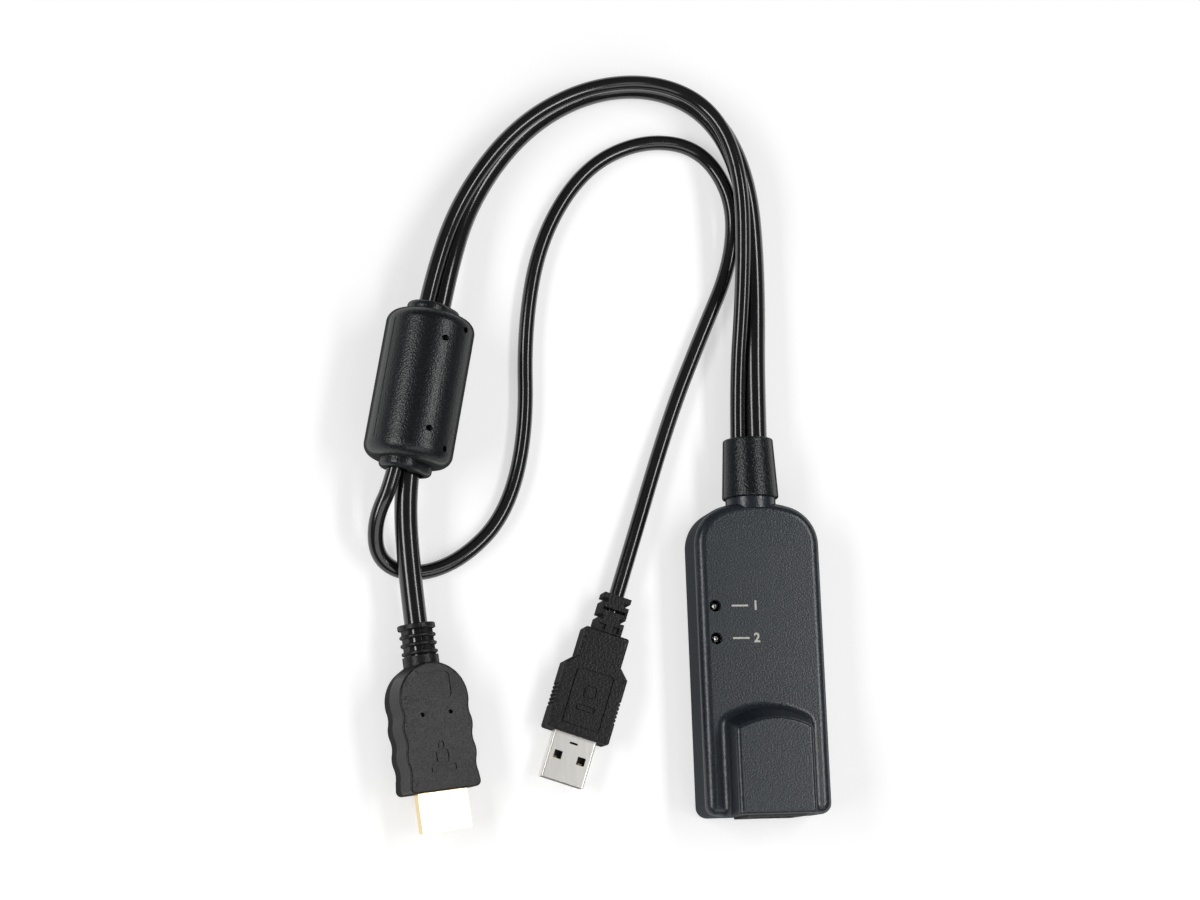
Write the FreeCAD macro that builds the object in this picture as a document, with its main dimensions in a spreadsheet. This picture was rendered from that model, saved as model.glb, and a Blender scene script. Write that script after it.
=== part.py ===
"""KVM dongle: a moulded adapter housing with a hooded network jack, two cords,
a ferrite choke clamped over both, and a video plug and a data plug.

Frame: +Y runs along the housing from the jack to the cords, +Z is up, and the
origin is under the middle of the housing, on the surface that it lies on.
"""
import FreeCAD, Part
import math
import os
import Sketcher
from FreeCAD import Placement, Rotation, Vector

doc = FreeCAD.newDocument("kvm_dongle")
sheet = doc.addObject("Spreadsheet::Sheet", "Sizes")
parts = {}


# ---------------------------------------------------------------- driving sizes
class Size:
    """A length or angle with both its number and the expression that gives it."""

    def __init__(self, number, text):
        self.number = number
        self.text = text

    def __float__(self):
        return float(self.number)

    def joined(self, sign, other, number):
        right = other.text if isinstance(other, Size) else "%.6g" % other
        return Size(number, "(%s %s %s)" % (self.text, sign, right))

    def __add__(self, other):
        return self.joined("+", other, float(self) + float(other))

    def __sub__(self, other):
        return self.joined("-", other, float(self) - float(other))

    def __mul__(self, other):
        return self.joined("*", other, float(self) * float(other))

    def __truediv__(self, other):
        return self.joined("/", other, float(self) / float(other))

    def __neg__(self):
        return Size(-float(self), "(0 - %s)" % self.text)


ZERO = Size(0, "0")
row = 0


def size(alias, number):
    """Puts one driving number in the sheet and returns it as a Size."""
    global row
    row += 1
    sheet.set("A%d" % row, alias)
    sheet.set("B%d" % row, str(number))
    sheet.setAlias("B%d" % row, alias)
    return Size(number, "Sizes.%s" % alias)


# Housing
body_width = size("body_width", 34.9)
body_length = size("body_length", 84.5)
body_height = size("body_height", 14.0)
parting_height = size("parting_height", 7.8)
wall = size("wall", 1.8)
crown_arc = size("crown_arc", 34.0)
back_corner = size("back_corner", 11.0)
front_corner = size("front_corner", 3.0)
top_round = size("top_round", 2.7)
foot_round = size("foot_round", 1.6)
lip_rise = size("lip_rise", 1.0)
lip_width = size("lip_width", 0.8)
fit_gap = size("fit_gap", 0.15)

# Hood over the network jack
hood_side_draft = size("hood_side_draft", 1.2)
hood_foot_length = size("hood_foot_length", 29.9)
hood_crown_length = size("hood_crown_length", 25.5)
hood_arc = size("hood_arc", 21.0)
hood_corner = size("hood_corner", 1.5)
hood_edge = size("hood_edge", 1.2)
hood_blend = size("hood_blend", 2.5)

# Neck and cord boot
neck_diameter = size("neck_diameter", 13.7)
neck_length = size("neck_length", 1.3)
spigot_diameter = size("spigot_diameter", 12.4)
spigot_length = size("spigot_length", 5.0)
boot_length = size("boot_length", 16.5)
boot_root_diameter = size("boot_root_diameter", 15.5)
boot_tip_diameter = size("boot_tip_diameter", 13.7)
boot_round = size("boot_round", 0.6)

# Cords
video_cord_diameter = size("video_cord_diameter", 6.2)
data_cord_diameter = size("data_cord_diameter", 4.2)
cord_spacing = size("cord_spacing", 5.3)
cord_gap = size("cord_gap", 0.15)
cord_end_depth = size("cord_end_depth", 9.05)

# Board and the pieces on it
board_height = size("board_height", 3.9)
board_thickness = size("board_thickness", 1.6)
board_gap = size("board_gap", 0.5)
board_corner = size("board_corner", 3.0)
boss_diameter = size("boss_diameter", 5.0)
boss_inset = size("boss_inset", 4.8)
boss_front = size("boss_front", 9.0)
boss_back = size("boss_back", 68.0)
screw_diameter = size("screw_diameter", 2.0)
screw_length = size("screw_length", 8.0)
screw_head_diameter = size("screw_head_diameter", 3.8)
screw_head_height = size("screw_head_height", 1.3)
screw_head_recess = size("screw_head_recess", 0.5)
screw_hole_gap = size("screw_hole_gap", 0.2)
header_length = size("header_length", 6.0)
clamp_length = size("clamp_length", 3.0)
clamp_width = size("clamp_width", 19.0)
clamp_setback = size("clamp_setback", 2.0)
clamp_grip = size("clamp_grip", 0.05)

# Network jack
jack_width = size("jack_width", 16.0)
jack_height = size("jack_height", 13.5)
jack_length = size("jack_length", 21.0)
jack_stand_out = size("jack_stand_out", 0.6)
jack_gap = size("jack_gap", 0.3)
jack_headroom = size("jack_headroom", 0.8)
jack_side_room = size("jack_side_room", 0.75)
mouth_width = size("mouth_width", 11.8)
mouth_height = size("mouth_height", 7.1)
mouth_floor = size("mouth_floor", 4.4)
mouth_depth = size("mouth_depth", 13.0)
latch_width = size("latch_width", 6.4)
latch_drop = size("latch_drop", 1.6)
key_width = size("key_width", 4.0)
key_drop = size("key_drop", 1.3)
foot_notch_width = size("foot_notch_width", 8.0)
foot_notch_height = size("foot_notch_height", 1.0)
contact_pitch = size("contact_pitch", 1.02)
contact_width = size("contact_width", 0.5)
contact_thickness = size("contact_thickness", 0.3)
contact_start = size("contact_start", 3.0)
contact_dip = size("contact_dip", 2.4)

# Status lights
light_inset = size("light_inset", 4.55)
light_from_front = size("light_from_front", 47.2)
light_spacing = size("light_spacing", 8.75)
light_diameter = size("light_diameter", 2.9)
light_hole = size("light_hole", 3.2)
light_sink = size("light_sink", 0.5)
light_length = size("light_length", 5.2)
light_flange = size("light_flange", 0.8)
light_leg = size("light_leg", 0.5)
light_pitch = size("light_pitch", 1.3)

# Chips on the board
main_chip_side = size("main_chip_side", 14.0)
main_chip_height = size("main_chip_height", 1.4)
main_chip_place = size("main_chip_place", 50.0)
memory_chip_width = size("memory_chip_width", 10.0)
memory_chip_length = size("memory_chip_length", 7.0)
memory_chip_height = size("memory_chip_height", 1.1)
memory_chip_place = size("memory_chip_place", 62.5)
transformer_width = size("transformer_width", 14.0)
transformer_length = size("transformer_length", 9.0)
transformer_height = size("transformer_height", 6.4)
transformer_place = size("transformer_place", 27.5)

# Ferrite choke, in its own frame: the cords run along Y, side by side along X
choke_diameter = size("choke_diameter", 23.9)
choke_length = size("choke_length", 40.5)
choke_round = size("choke_round", 3.5)
collar_width = size("collar_width", 15.8)
collar_height = size("collar_height", 11.8)
collar_length = size("collar_length", 2.6)
choke_cord_gap = size("choke_cord_gap", 0.7)
core_diameter = size("core_diameter", 18.4)
core_length = size("core_length", 28.6)
core_bore = size("core_bore", 12.4)
pin_hole_diameter = size("pin_hole_diameter", 1.7)
pin_hole_depth = size("pin_hole_depth", 1.2)
crown_pin_inset = size("crown_pin_inset", 3.9)
side_pin_inset = size("side_pin_inset", 7.9)
side_pin_angle = size("side_pin_angle", 30.0)

# Video plug, in its own frame: the cord enters at the origin and -Y is the front
video_relief_length = size("video_relief_length", 9.9)
video_relief_diameter = size("video_relief_diameter", 9.6)
video_core_diameter = size("video_core_diameter", 8.2)
video_rib = size("video_rib", 0.85)
video_rib_pitch = size("video_rib_pitch", 2.2)
video_collar = size("video_collar", 1.4)
video_spine = size("video_spine", 1.5)
video_body_length = size("video_body_length", 34.2)
video_body_width = size("video_body_width", 21.3)
video_body_height = size("video_body_height", 11.0)
video_body_draft = size("video_body_draft", 0.75)
video_body_round = size("video_body_round", 0.5)
video_front_corner = size("video_front_corner", 1.5)
video_mark_width = size("video_mark_width", 7.2)
video_mark_line = size("video_mark_line", 0.3)
video_wave_depth = size("video_wave_depth", 0.55)
video_wave_pitch = size("video_wave_pitch", 7.4)
video_wave_start = size("video_wave_start", 5.7)
video_panel_width = size("video_panel_width", 10.0)
video_panel_length = size("video_panel_length", 7.0)
video_panel_depth = size("video_panel_depth", 0.3)
video_panel_place = size("video_panel_place", 7.0)
video_dot_diameter = size("video_dot_diameter", 1.2)
video_dot_spacing = size("video_dot_spacing", 8.0)
video_dot_place = size("video_dot_place", 14.2)
video_shell_width = size("video_shell_width", 13.9)
video_shell_height = size("video_shell_height", 4.45)
video_shell_step = size("video_shell_step", 1.75)
video_shell_wall = size("video_shell_wall", 0.35)
video_shell_reach = size("video_shell_reach", 10.2)
video_shell_root = size("video_shell_root", 7.0)
video_tongue_recess = size("video_tongue_recess", 1.2)
video_slot_width = size("video_slot_width", 11.4)
video_slot_height = size("video_slot_height", 1.9)
video_slot_depth = size("video_slot_depth", 7.6)
video_contact_pitch = size("video_contact_pitch", 1.0)
video_contact_width = size("video_contact_width", 0.45)
video_contact_thickness = size("video_contact_thickness", 0.2)

# Data plug, in its own frame as the video plug
data_relief_length = size("data_relief_length", 10.4)
data_relief_width = size("data_relief_width", 7.6)
data_relief_height = size("data_relief_height", 6.6)
data_notch = size("data_notch", 1.2)
data_notch_pitch = size("data_notch_pitch", 4.6)
data_body_length = size("data_body_length", 28.9)
data_rear_length = size("data_rear_length", 8.1)
data_rear_width = size("data_rear_width", 12.5)
data_shoulder = size("data_shoulder", 2.7)
data_body_width = size("data_body_width", 17.8)
data_body_height = size("data_body_height", 7.8)
data_body_round = size("data_body_round", 0.7)
data_panel_width = size("data_panel_width", 10.6)
data_panel_length = size("data_panel_length", 15.6)
data_panel_groove = size("data_panel_groove", 0.35)
data_panel_place = size("data_panel_place", 2.2)
data_grip_pitch = size("data_grip_pitch", 1.1)
data_grip_depth = size("data_grip_depth", 0.35)
data_grip_place = size("data_grip_place", 6.3)
data_shell_width = size("data_shell_width", 12.0)
data_shell_height = size("data_shell_height", 4.5)
data_shell_wall = size("data_shell_wall", 0.3)
data_shell_round = size("data_shell_round", 0.6)
data_shell_reach = size("data_shell_reach", 12.7)
data_shell_root = size("data_shell_root", 8.0)
window_side = size("window_side", 2.2)
window_spacing = size("window_spacing", 6.5)
window_place = size("window_place", 6.6)
tongue_recess = size("tongue_recess", 0.6)
tongue_height = size("tongue_height", 1.9)
data_contact_width = size("data_contact_width", 1.0)
data_contact_thickness = size("data_contact_thickness", 0.25)

plug_seat = size("plug_seat", 10.4)
doc.recompute()

# Where the housing's faces lie along Y, from the driving sizes
overall_length = jack_stand_out + body_length + neck_length + boot_length
front_face = jack_stand_out - overall_length / 2
back_face = front_face + body_length
neck_end = back_face + neck_length
boot_end = neck_end + boot_length
cord_end = back_face - cord_end_depth
roof_height = body_height - wall
board_top = board_height + board_thickness
hood_height = board_top + jack_height + jack_headroom + wall
hood_crown_width = jack_width + (jack_side_room + wall) * 2
hood_foot_width = hood_crown_width + hood_side_draft * 2
boss_spacing = body_width - boss_inset * 2
light_offset = body_width / 2 - light_inset
cord_height = parting_height
video_cord_x = (cord_spacing + data_cord_diameter / 2 - video_cord_diameter / 2) / 2
data_cord_x = video_cord_x - cord_spacing


# ---------------------------------------------------------------- sketch and feature helpers
def new_body(label):
    """Starts the body of one sub-part and keeps it under its node's name."""
    body = doc.addObject("PartDesign::Body", label)
    body.Label = label
    parts[label] = body
    return body


def bind(thing, prop, amount):
    """Binds one property of an object to the sheet."""
    if isinstance(amount, Size):
        thing.setExpression(prop, amount.text)
    else:
        setattr(thing, prop, amount)


def sketch(body, name, role="XY_Plane", offset=ZERO):
    """An empty sketch on one of the body's own planes, moved along its normal."""
    drawing = body.newObject("Sketcher::SketchObject", name)
    plane = [face for face in body.Origin.OriginFeatures if face.Role == role][0]
    drawing.AttachmentSupport = [(plane, "")]
    drawing.MapMode = "FlatFace"
    drawing.setExpression("AttachmentOffset.Base.z", offset.text)
    return drawing


def hold(drawing, kind, *where_and_amount):
    """Adds a driving dimension whose amount follows the sheet."""
    amount = where_and_amount[-1]
    places = where_and_amount[:-1]
    index = drawing.addConstraint(Sketcher.Constraint(kind, *places, float(amount)))
    if isinstance(amount, Size):
        drawing.setExpression("Constraints[%d]" % index, amount.text)


def polygon(drawing, corners):
    """A closed outline with straight sides; each corner is a pair of Sizes."""
    first = drawing.GeometryCount
    count = len(corners)
    flat = [Vector(float(x), float(y), 0) for x, y in corners]
    for i in range(count):
        drawing.addGeometry(Part.LineSegment(flat[i], flat[(i + 1) % count]))
    for i in range(count):
        drawing.addConstraint(
            Sketcher.Constraint("Coincident", first + i, 2, first + (i + 1) % count, 1))
    for i, (x, y) in enumerate(corners):
        hold(drawing, "DistanceX", -1, 1, first + i, 1, x)
        hold(drawing, "DistanceY", -1, 1, first + i, 1, y)
    return drawing


def rectangle(drawing, x, y, width, height):
    """A rectangle about the point x, y."""
    left, right = x - width / 2, x + width / 2
    low, high = y - height / 2, y + height / 2
    return polygon(drawing, [(left, low), (right, low), (right, high), (left, high)])


def circle(drawing, x, y, diameter):
    """A circle about the point x, y."""
    centre = Vector(float(x), float(y), 0)
    index = drawing.addGeometry(Part.Circle(centre, Vector(0, 0, 1), float(diameter) / 2))
    hold(drawing, "DistanceX", -1, 1, index, 3, x)
    hold(drawing, "DistanceY", -1, 1, index, 3, y)
    hold(drawing, "Diameter", index, diameter)
    return drawing


def arched(drawing, half_width, low, apex, radius):
    """A straight front and sides under a shallow arch whose crown is at apex."""
    w, r = float(half_width), float(radius)
    centre = float(apex) - r
    spring = centre + math.sqrt(r * r - w * w)
    lean = math.atan2(spring - centre, w)
    arch = Part.ArcOfCircle(Part.Circle(Vector(0, centre, 0), Vector(0, 0, 1), r),
                            lean, math.pi - lean)
    base = drawing.addGeometry(Part.LineSegment(Vector(-w, float(low), 0), Vector(w, float(low), 0)))
    right = drawing.addGeometry(Part.LineSegment(Vector(w, float(low), 0), Vector(w, spring, 0)))
    crown = drawing.addGeometry(arch)
    left = drawing.addGeometry(Part.LineSegment(Vector(-w, spring, 0), Vector(-w, float(low), 0)))
    ring = [base, right, crown, left]
    for i in range(4):
        drawing.addConstraint(Sketcher.Constraint("Coincident", ring[i], 2, ring[(i + 1) % 4], 1))
    drawing.addConstraint(Sketcher.Constraint("Horizontal", base))
    drawing.addConstraint(Sketcher.Constraint("Vertical", right))
    drawing.addConstraint(Sketcher.Constraint("Vertical", left))
    drawing.addConstraint(Sketcher.Constraint("PointOnObject", crown, 3, -2))
    hold(drawing, "DistanceX", -1, 1, right, 1, half_width)
    hold(drawing, "DistanceX", base, 1, base, 2, half_width * 2)
    hold(drawing, "DistanceY", -1, 1, base, 1, low)
    hold(drawing, "DistanceY", -1, 1, crown, 3, apex - radius)
    hold(drawing, "Radius", crown, radius)
    return drawing


def outline(drawing, corners):
    """A closed anticlockwise outline; each corner is x, y and the bend of the side after it.

    A bend is the radius of an arc, positive where it bulges out and negative where it dips
    in, and None for a straight side."""
    first = drawing.GeometryCount
    count = len(corners)
    ends = []
    for i in range(count):
        x, y, bend = corners[i]
        after = corners[(i + 1) % count]
        a, b = Vector(float(x), float(y), 0), Vector(float(after[0]), float(after[1]), 0)
        if bend is None:
            drawing.addGeometry(Part.LineSegment(a, b))
            ends.append((1, 2))
            continue
        along = b - a
        left = Vector(-along.y, along.x, 0).normalize()
        radius = abs(float(bend))
        away = math.sqrt(max(radius * radius - along.Length * along.Length / 4, 0))
        centre = (a + b) * 0.5 + left * (away if float(bend) > 0 else -away)
        round_line = Part.Circle(centre, Vector(0, 0, 1), radius)
        angles = [math.atan2(p.y - centre.y, p.x - centre.x) for p in (a, b)]
        if float(bend) < 0:
            angles.reverse()
        if angles[1] < angles[0]:
            angles[1] += math.pi * 2
        drawing.addGeometry(Part.ArcOfCircle(round_line, angles[0], angles[1]))
        ends.append((1, 2) if float(bend) > 0 else (2, 1))
    for i in range(count):
        after = (i + 1) % count
        drawing.addConstraint(Sketcher.Constraint("Coincident", first + i, ends[i][1],
                                                  first + after, ends[after][0]))
    for i, (x, y, bend) in enumerate(corners):
        hold(drawing, "DistanceX", -1, 1, first + i, ends[i][0], x)
        hold(drawing, "DistanceY", -1, 1, first + i, ends[i][0], y)
        if bend is not None:
            hold(drawing, "Radius", first + i, bend if float(bend) > 0 else -bend)
    return drawing


def rounded(drawing, x, y, width, height, radius):
    """A rectangle about x, y with round corners."""
    left, right = x - width / 2, x + width / 2
    low, high = y - height / 2, y + height / 2
    return outline(drawing, [
        (left + radius, low, None), (right - radius, low, radius), (right, low + radius, None),
        (right, high - radius, radius), (right - radius, high, None),
        (left + radius, high, radius), (left, high - radius, None), (left, low + radius, radius)])


def feature(body, kind, name, profile, **settings):
    """A PartDesign feature from a sketch, with its sizes bound to the sheet."""
    made = body.newObject("PartDesign::" + kind, name)
    made.Profile = profile
    for prop, amount in settings.items():
        bind(made, prop, amount)
    return made


def pad(body, name, profile, length, **settings):
    return feature(body, "Pad", name, profile, Length=length, **settings)


def pocket(body, name, profile, length, **settings):
    """Cuts against the sketch's normal, or along it with Reversed set."""
    return feature(body, "Pocket", name, profile, Length=length, **settings)


def turned(body, kind, name, profile, axis="Y_Axis"):
    """A Revolution or Groove all round one of the body's own axes."""
    made = feature(body, kind, name, profile)
    line = [item for item in body.Origin.OriginFeatures if item.Role == axis][0]
    made.ReferenceAxis = (line, [""])
    made.Angle = 360
    return made


def line_up(body, kind, name, original, direction, step, count):
    """A LinearPattern whose copies lie one step apart along an axis of the body."""
    made = body.newObject("PartDesign::LinearPattern", name)
    made.Originals = [original]
    line = [item for item in body.Origin.OriginFeatures if item.Role == direction][0]
    made.Direction = (line, [""])
    made.Mode = kind
    made.Occurrences = count
    bind(made, "Offset", step)
    body.Tip = made
    return made


def mirror(body, name, originals, role):
    """Copies features to the far side of one of the body's own planes."""
    made = body.newObject("PartDesign::Mirrored", name)
    made.Originals = originals
    plane = [face for face in body.Origin.OriginFeatures if face.Role == role][0]
    made.MirrorPlane = (plane, [""])
    body.Tip = made
    return made


def dress(body, kind, name, chosen, amount):
    """Rounds or chamfers every edge of the body's tip that chosen(edge) picks."""
    doc.recompute()
    base = body.Tip
    names = ["Edge%d" % (i + 1) for i, edge in enumerate(base.Shape.Edges) if chosen(edge)]
    if not names:
        raise ValueError("%s: %s found no edge" % (body.Label, name))
    made = body.newObject("PartDesign::" + kind, name)
    made.Base = (base, names)
    bind(made, "Radius" if kind == "Fillet" else "Size", amount)
    doc.recompute()
    return made


def near(a, b, slack=0.02):
    return abs(float(a) - float(b)) < slack


def upright(edge):
    """True for a straight edge along Z."""
    box = edge.BoundBox
    return box.XLength < 1e-6 and box.YLength < 1e-6


def level_at(edge, height):
    """True for an edge that lies all at one height."""
    return near(edge.BoundBox.ZMin, height) and near(edge.BoundBox.ZMax, height)


def place(label, x, y, z, turn, roll=0.0):
    """Sets a sub-part down: rolled about its own Y, then turned about Z."""
    spin = Rotation(Vector(0, 0, 1), turn) * Rotation(Vector(0, 1, 0), roll)
    parts[label].Placement = Placement(Vector(x, y, z), spin)


# ---------------------------------------------------------------- housing shells
def housing_outline(body, name, offset, inset):
    """The housing's outline seen from above, drawn inset from the outer face."""
    return arched(sketch(body, name, offset=offset), body_width / 2 - inset, front_face + inset,
                  back_face - inset, crown_arc - inset)


def round_plan_corners(body, name, inset):
    """Rounds the upright corners of the tip: wide ones at the back, small at the front."""
    middle = float(front_face + back_face) / 2
    dress(body, "Fillet", name + "_back", lambda e: upright(e) and e.CenterOfMass.y > middle,
          back_corner - inset)
    dress(body, "Fillet", name + "_front",
          lambda e: upright(e) and e.CenterOfMass.y < float(front_face + inset) + 0.01,
          front_corner - inset)


def shell_block(label, floor, height, inset):
    """A block with the housing's outline, used for the shells and their cavities."""
    body = new_body(label)
    pad(body, label + "_block", housing_outline(body, label + "_outline", floor, inset), height)
    round_plan_corners(body, label, inset)
    return body


def bore_pair(body, name, height, gap, depth, **settings):
    """Two holes along Y for the cords, each in its own pocket as the holes overlap."""
    for cord_name, x, diameter in (("_video", video_cord_x, video_cord_diameter),
                                   ("_data", data_cord_x, data_cord_diameter)):
        hole = circle(sketch(body, name + cord_name, "XZ_Plane"), x, height, diameter + gap * 2)
        pocket(body, name + cord_name + "_bore", hole, depth, **settings)


def boss_centres():
    """The four screw places, as pairs of Sizes."""
    return [(boss_spacing * side / 2, front_face + along)
            for side in (-1, 1) for along in (boss_front, boss_back)]


def cut(label, base, tools):
    """Takes helper solids out of a base solid and keeps the result as a sub-part."""
    made = doc.addObject("Part::Cut", label)
    made.Base = base
    if len(tools) == 1:
        made.Tool = tools[0]
    else:
        group = doc.addObject("Part::MultiFuse", label + "_tools")
        group.Shapes = tools
        made.Tool = group
    made.Label = label
    parts[label] = made
    return made


def fuse(name, pieces):
    made = doc.addObject("Part::MultiFuse", name)
    made.Shapes = pieces
    made.Refine = True
    return made


def rod(name, x, y, z, diameter, length, along="Z"):
    """A cylinder from the point x, y, z along Y or Z."""
    made = doc.addObject("Part::Cylinder", name)
    made.setExpression("Radius", (diameter / 2).text)
    made.setExpression("Height", length.text)
    if along == "Y":
        made.Placement = Placement(Vector(), Rotation(Vector(1, 0, 0), -90))
    for axis, amount in zip("xyz", (x, y, z)):
        made.setExpression("Placement.Base." + axis, amount.text)
    return made


def block(name, x, y, z, width, length, height):
    """A box centred on x, that starts at y and z."""
    made = doc.addObject("Part::Box", name)
    made.setExpression("Length", width.text)
    made.setExpression("Width", length.text)
    made.setExpression("Height", height.text)
    made.setExpression("Placement.Base.x", (x - width / 2).text)
    made.setExpression("Placement.Base.y", y.text)
    made.setExpression("Placement.Base.z", z.text)
    return made


def neck_pieces(name):
    """The round neck behind the housing and the spigot that fills the boot's socket."""
    start = back_face - wall
    collar = rod(name + "_collar", ZERO, start, cord_height, neck_diameter, neck_end - start, "Y")
    spigot = rod(name + "_spigot", ZERO, start, cord_height, spigot_diameter,
                 neck_end + spigot_length - start, "Y")
    return [collar, spigot]


def half_space(name, low, high):
    """A slab that spans the whole housing between two heights."""
    span = body_length * 2
    return block(name, ZERO, -span / 2, low, span, span, high - low)


def jack_window(name):
    """The opening for the network jack through the front walls of both shells."""
    depth = wall + jack_stand_out + jack_gap
    return block(name, ZERO, front_face - jack_stand_out, board_top - jack_gap,
                 jack_width + jack_gap * 2, depth, jack_height + jack_gap * 2)


def cord_tunnel(name):
    """Helper rods along both cords, from their ends out through the neck."""
    start = cord_end
    length = neck_end + spigot_length - start + 1
    video = rod(name + "_video", video_cord_x, start, cord_height,
                video_cord_diameter + cord_gap * 2, length, "Y")
    data = rod(name + "_data", data_cord_x, start, cord_height,
               data_cord_diameter + cord_gap * 2, length, "Y")
    return [video, data]


def build_hood(body):
    """Raises the drafted, arched hood over the jack, flush with the front face."""
    foot_height = body_height - top_round
    run_out = hood_edge * 4
    foot = arched(sketch(body, "hood_foot", offset=foot_height), hood_foot_width / 2,
                  front_face - run_out, front_face + hood_foot_length, hood_arc + 1)
    crown = arched(sketch(body, "hood_crown", offset=hood_height), hood_crown_width / 2,
                   front_face - run_out, front_face + hood_crown_length, hood_arc)
    hood = feature(body, "AdditiveLoft", "hood", foot, Ruled=True)
    hood.Sections = [crown]
    trim = rectangle(sketch(body, "hood_trim"), ZERO, front_face - run_out, body_width * 2,
                     run_out * 2)
    pocket(body, "hood_front", trim, hood_height * 2, Midplane=True)
    apex = float(front_face + hood_crown_length)
    reach = float(hood_foot_width) / 2
    dress(body, "Fillet", "hood_corners",
          lambda e: near(e.BoundBox.ZMax, hood_height) and e.BoundBox.ZMin < float(body_height) + 0.1
          and e.BoundBox.YMin > apex - reach, hood_corner)
    dress(body, "Fillet", "hood_foot_blend",
          lambda e: level_at(e, body_height) and abs(e.BoundBox.XMin) < reach
          and abs(e.BoundBox.XMax) < reach and e.BoundBox.YMax < apex + reach
          and e.BoundBox.YMax > float(front_face + top_round) + 0.1, hood_blend)
    dress(body, "Fillet", "hood_rim",
          lambda e: e.BoundBox.ZMin > float(hood_height) - 0.01, hood_edge)


def hood_cavity():
    """The room inside the hood, drawn one wall in from its outer faces."""
    body = doc.addObject("PartDesign::Body", "hood_room")
    foot = arched(sketch(body, "room_foot", offset=parting_height), hood_foot_width / 2 - wall,
                  front_face + wall, front_face + hood_foot_length - wall, hood_arc + 1 - wall)
    crown = arched(sketch(body, "room_crown", offset=hood_height - wall),
                   hood_crown_width / 2 - wall, front_face + wall,
                   front_face + hood_crown_length - wall, hood_arc - wall)
    room = feature(body, "AdditiveLoft", "room", foot, Ruled=True)
    room.Sections = [crown]
    return body


def build_top_shell():
    """Upper half: roof with rounded edge, hood, light holes, bosses and half the neck."""
    outer = shell_block("top_outer", parting_height, body_height - parting_height, ZERO)
    dress(outer, "Fillet", "roof_edge", lambda e: e.BoundBox.ZMin > float(body_height) - 0.01,
          top_round)
    build_hood(outer)
    cavity = shell_block("top_cavity", parting_height, roof_height - parting_height, wall)
    rebate = shell_block("top_rebate", parting_height, lip_rise + fit_gap,
                         wall - lip_width - fit_gap)
    shell = cut("top_hollow", outer, [cavity, hood_cavity(), rebate])
    bosses = [rod("top_boss_%d" % i, x, y, board_top, boss_diameter, roof_height + wall / 2 - board_top)
              for i, (x, y) in enumerate(boss_centres())]
    below = half_space("top_below", -body_height, parting_height)
    necks = cut("top_neck", fuse("top_neck_round", neck_pieces("top_neck_round")), [below])
    solid = fuse("top_solid", [shell, necks] + bosses)
    pilots = [rod("top_pilot_%d" % i, x, y, screw_head_recess + screw_head_height, screw_diameter,
                  screw_length + 1) for i, (x, y) in enumerate(boss_centres())]
    lights = [rod("light_hole_%d" % i, -light_offset,
                  front_face + light_from_front + light_spacing * i, parting_height, light_hole,
                  body_height) for i in range(2)]
    cut("top_shell", solid, pilots + lights + cord_tunnel("top_tunnel")
        + [jack_window("top_window")])


def build_bottom_shell():
    """Lower half: floor, lip, screw bosses, cord cradle and the other half of the neck."""
    outer = shell_block("bottom_outer", ZERO, parting_height, ZERO)
    dress(outer, "Fillet", "floor_edge", lambda e: level_at(e, 0), foot_round)
    cavity = shell_block("bottom_cavity", wall, parting_height, wall)
    tray = cut("bottom_hollow", outer, [cavity])
    lip_outer = shell_block("lip_outer", parting_height - lip_width, lip_rise + lip_width,
                            wall - lip_width)
    lip_inner = shell_block("lip_inner", parting_height - lip_width * 2, lip_rise + lip_width * 4,
                            wall)
    lip = cut("lip", lip_outer, [lip_inner])
    lip_room = block("lip_room", ZERO, front_face, parting_height, jack_width + wall * 4,
                     wall * 3, lip_rise * 2)
    lip_back = block("lip_back", ZERO, back_face - wall * 3, parting_height,
                     neck_diameter + wall, wall * 4, lip_rise * 2)
    short_lip = cut("short_lip", lip, [lip_room, lip_back])
    bosses = [rod("bottom_boss_%d" % i, x, y, wall / 2, boss_diameter, board_height - wall / 2)
              for i, (x, y) in enumerate(boss_centres())]
    cradle = block("cradle", ZERO, cord_end + clamp_setback, wall / 2, clamp_width, clamp_length,
                   cord_height - wall / 2)
    above = half_space("bottom_above", parting_height, body_height * 3)
    necks = cut("bottom_neck", fuse("bottom_neck_round", neck_pieces("bottom_neck_round")), [above])
    solid = fuse("bottom_solid", [tray, short_lip, cradle, necks] + bosses)
    shanks = [rod("bottom_shank_%d" % i, x, y, ZERO, screw_diameter + screw_hole_gap * 2,
                  body_height)
              for i, (x, y) in enumerate(boss_centres())]
    heads = [rod("bottom_head_%d" % i, x, y, ZERO, screw_head_diameter + fit_gap * 2,
                 screw_head_recess + screw_head_height) for i, (x, y) in enumerate(boss_centres())]
    cut("bottom_shell", solid, shanks + heads + cord_tunnel("bottom_tunnel")
        + [jack_window("bottom_window")])


def build_boot():
    """Tapered rubber boot: a turned cone with a socket for the spigot and two cord holes."""
    body = new_body("cord_boot")
    socket = spigot_length + fit_gap
    socket_radius = spigot_diameter / 2
    profile = polygon(sketch(body, "boot_profile"), [
        (socket_radius, neck_end), (boot_root_diameter / 2, neck_end),
        (boot_tip_diameter / 2, boot_end), (ZERO, boot_end), (ZERO, neck_end + socket),
        (socket_radius, neck_end + socket)])
    turned(body, "Revolution", "boot_cone", profile)
    dress(body, "Fillet", "boot_edges",
          lambda e: near(e.BoundBox.XMax, boot_tip_diameter / 2) and near(e.BoundBox.YMin, boot_end)
          or near(e.BoundBox.XMax, boot_root_diameter / 2) and near(e.BoundBox.YMax, neck_end),
          boot_round)
    bore_pair(body, "boot", ZERO, cord_gap, boot_end * 2)
    body.setExpression("Placement.Base.z", cord_height.text)


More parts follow.
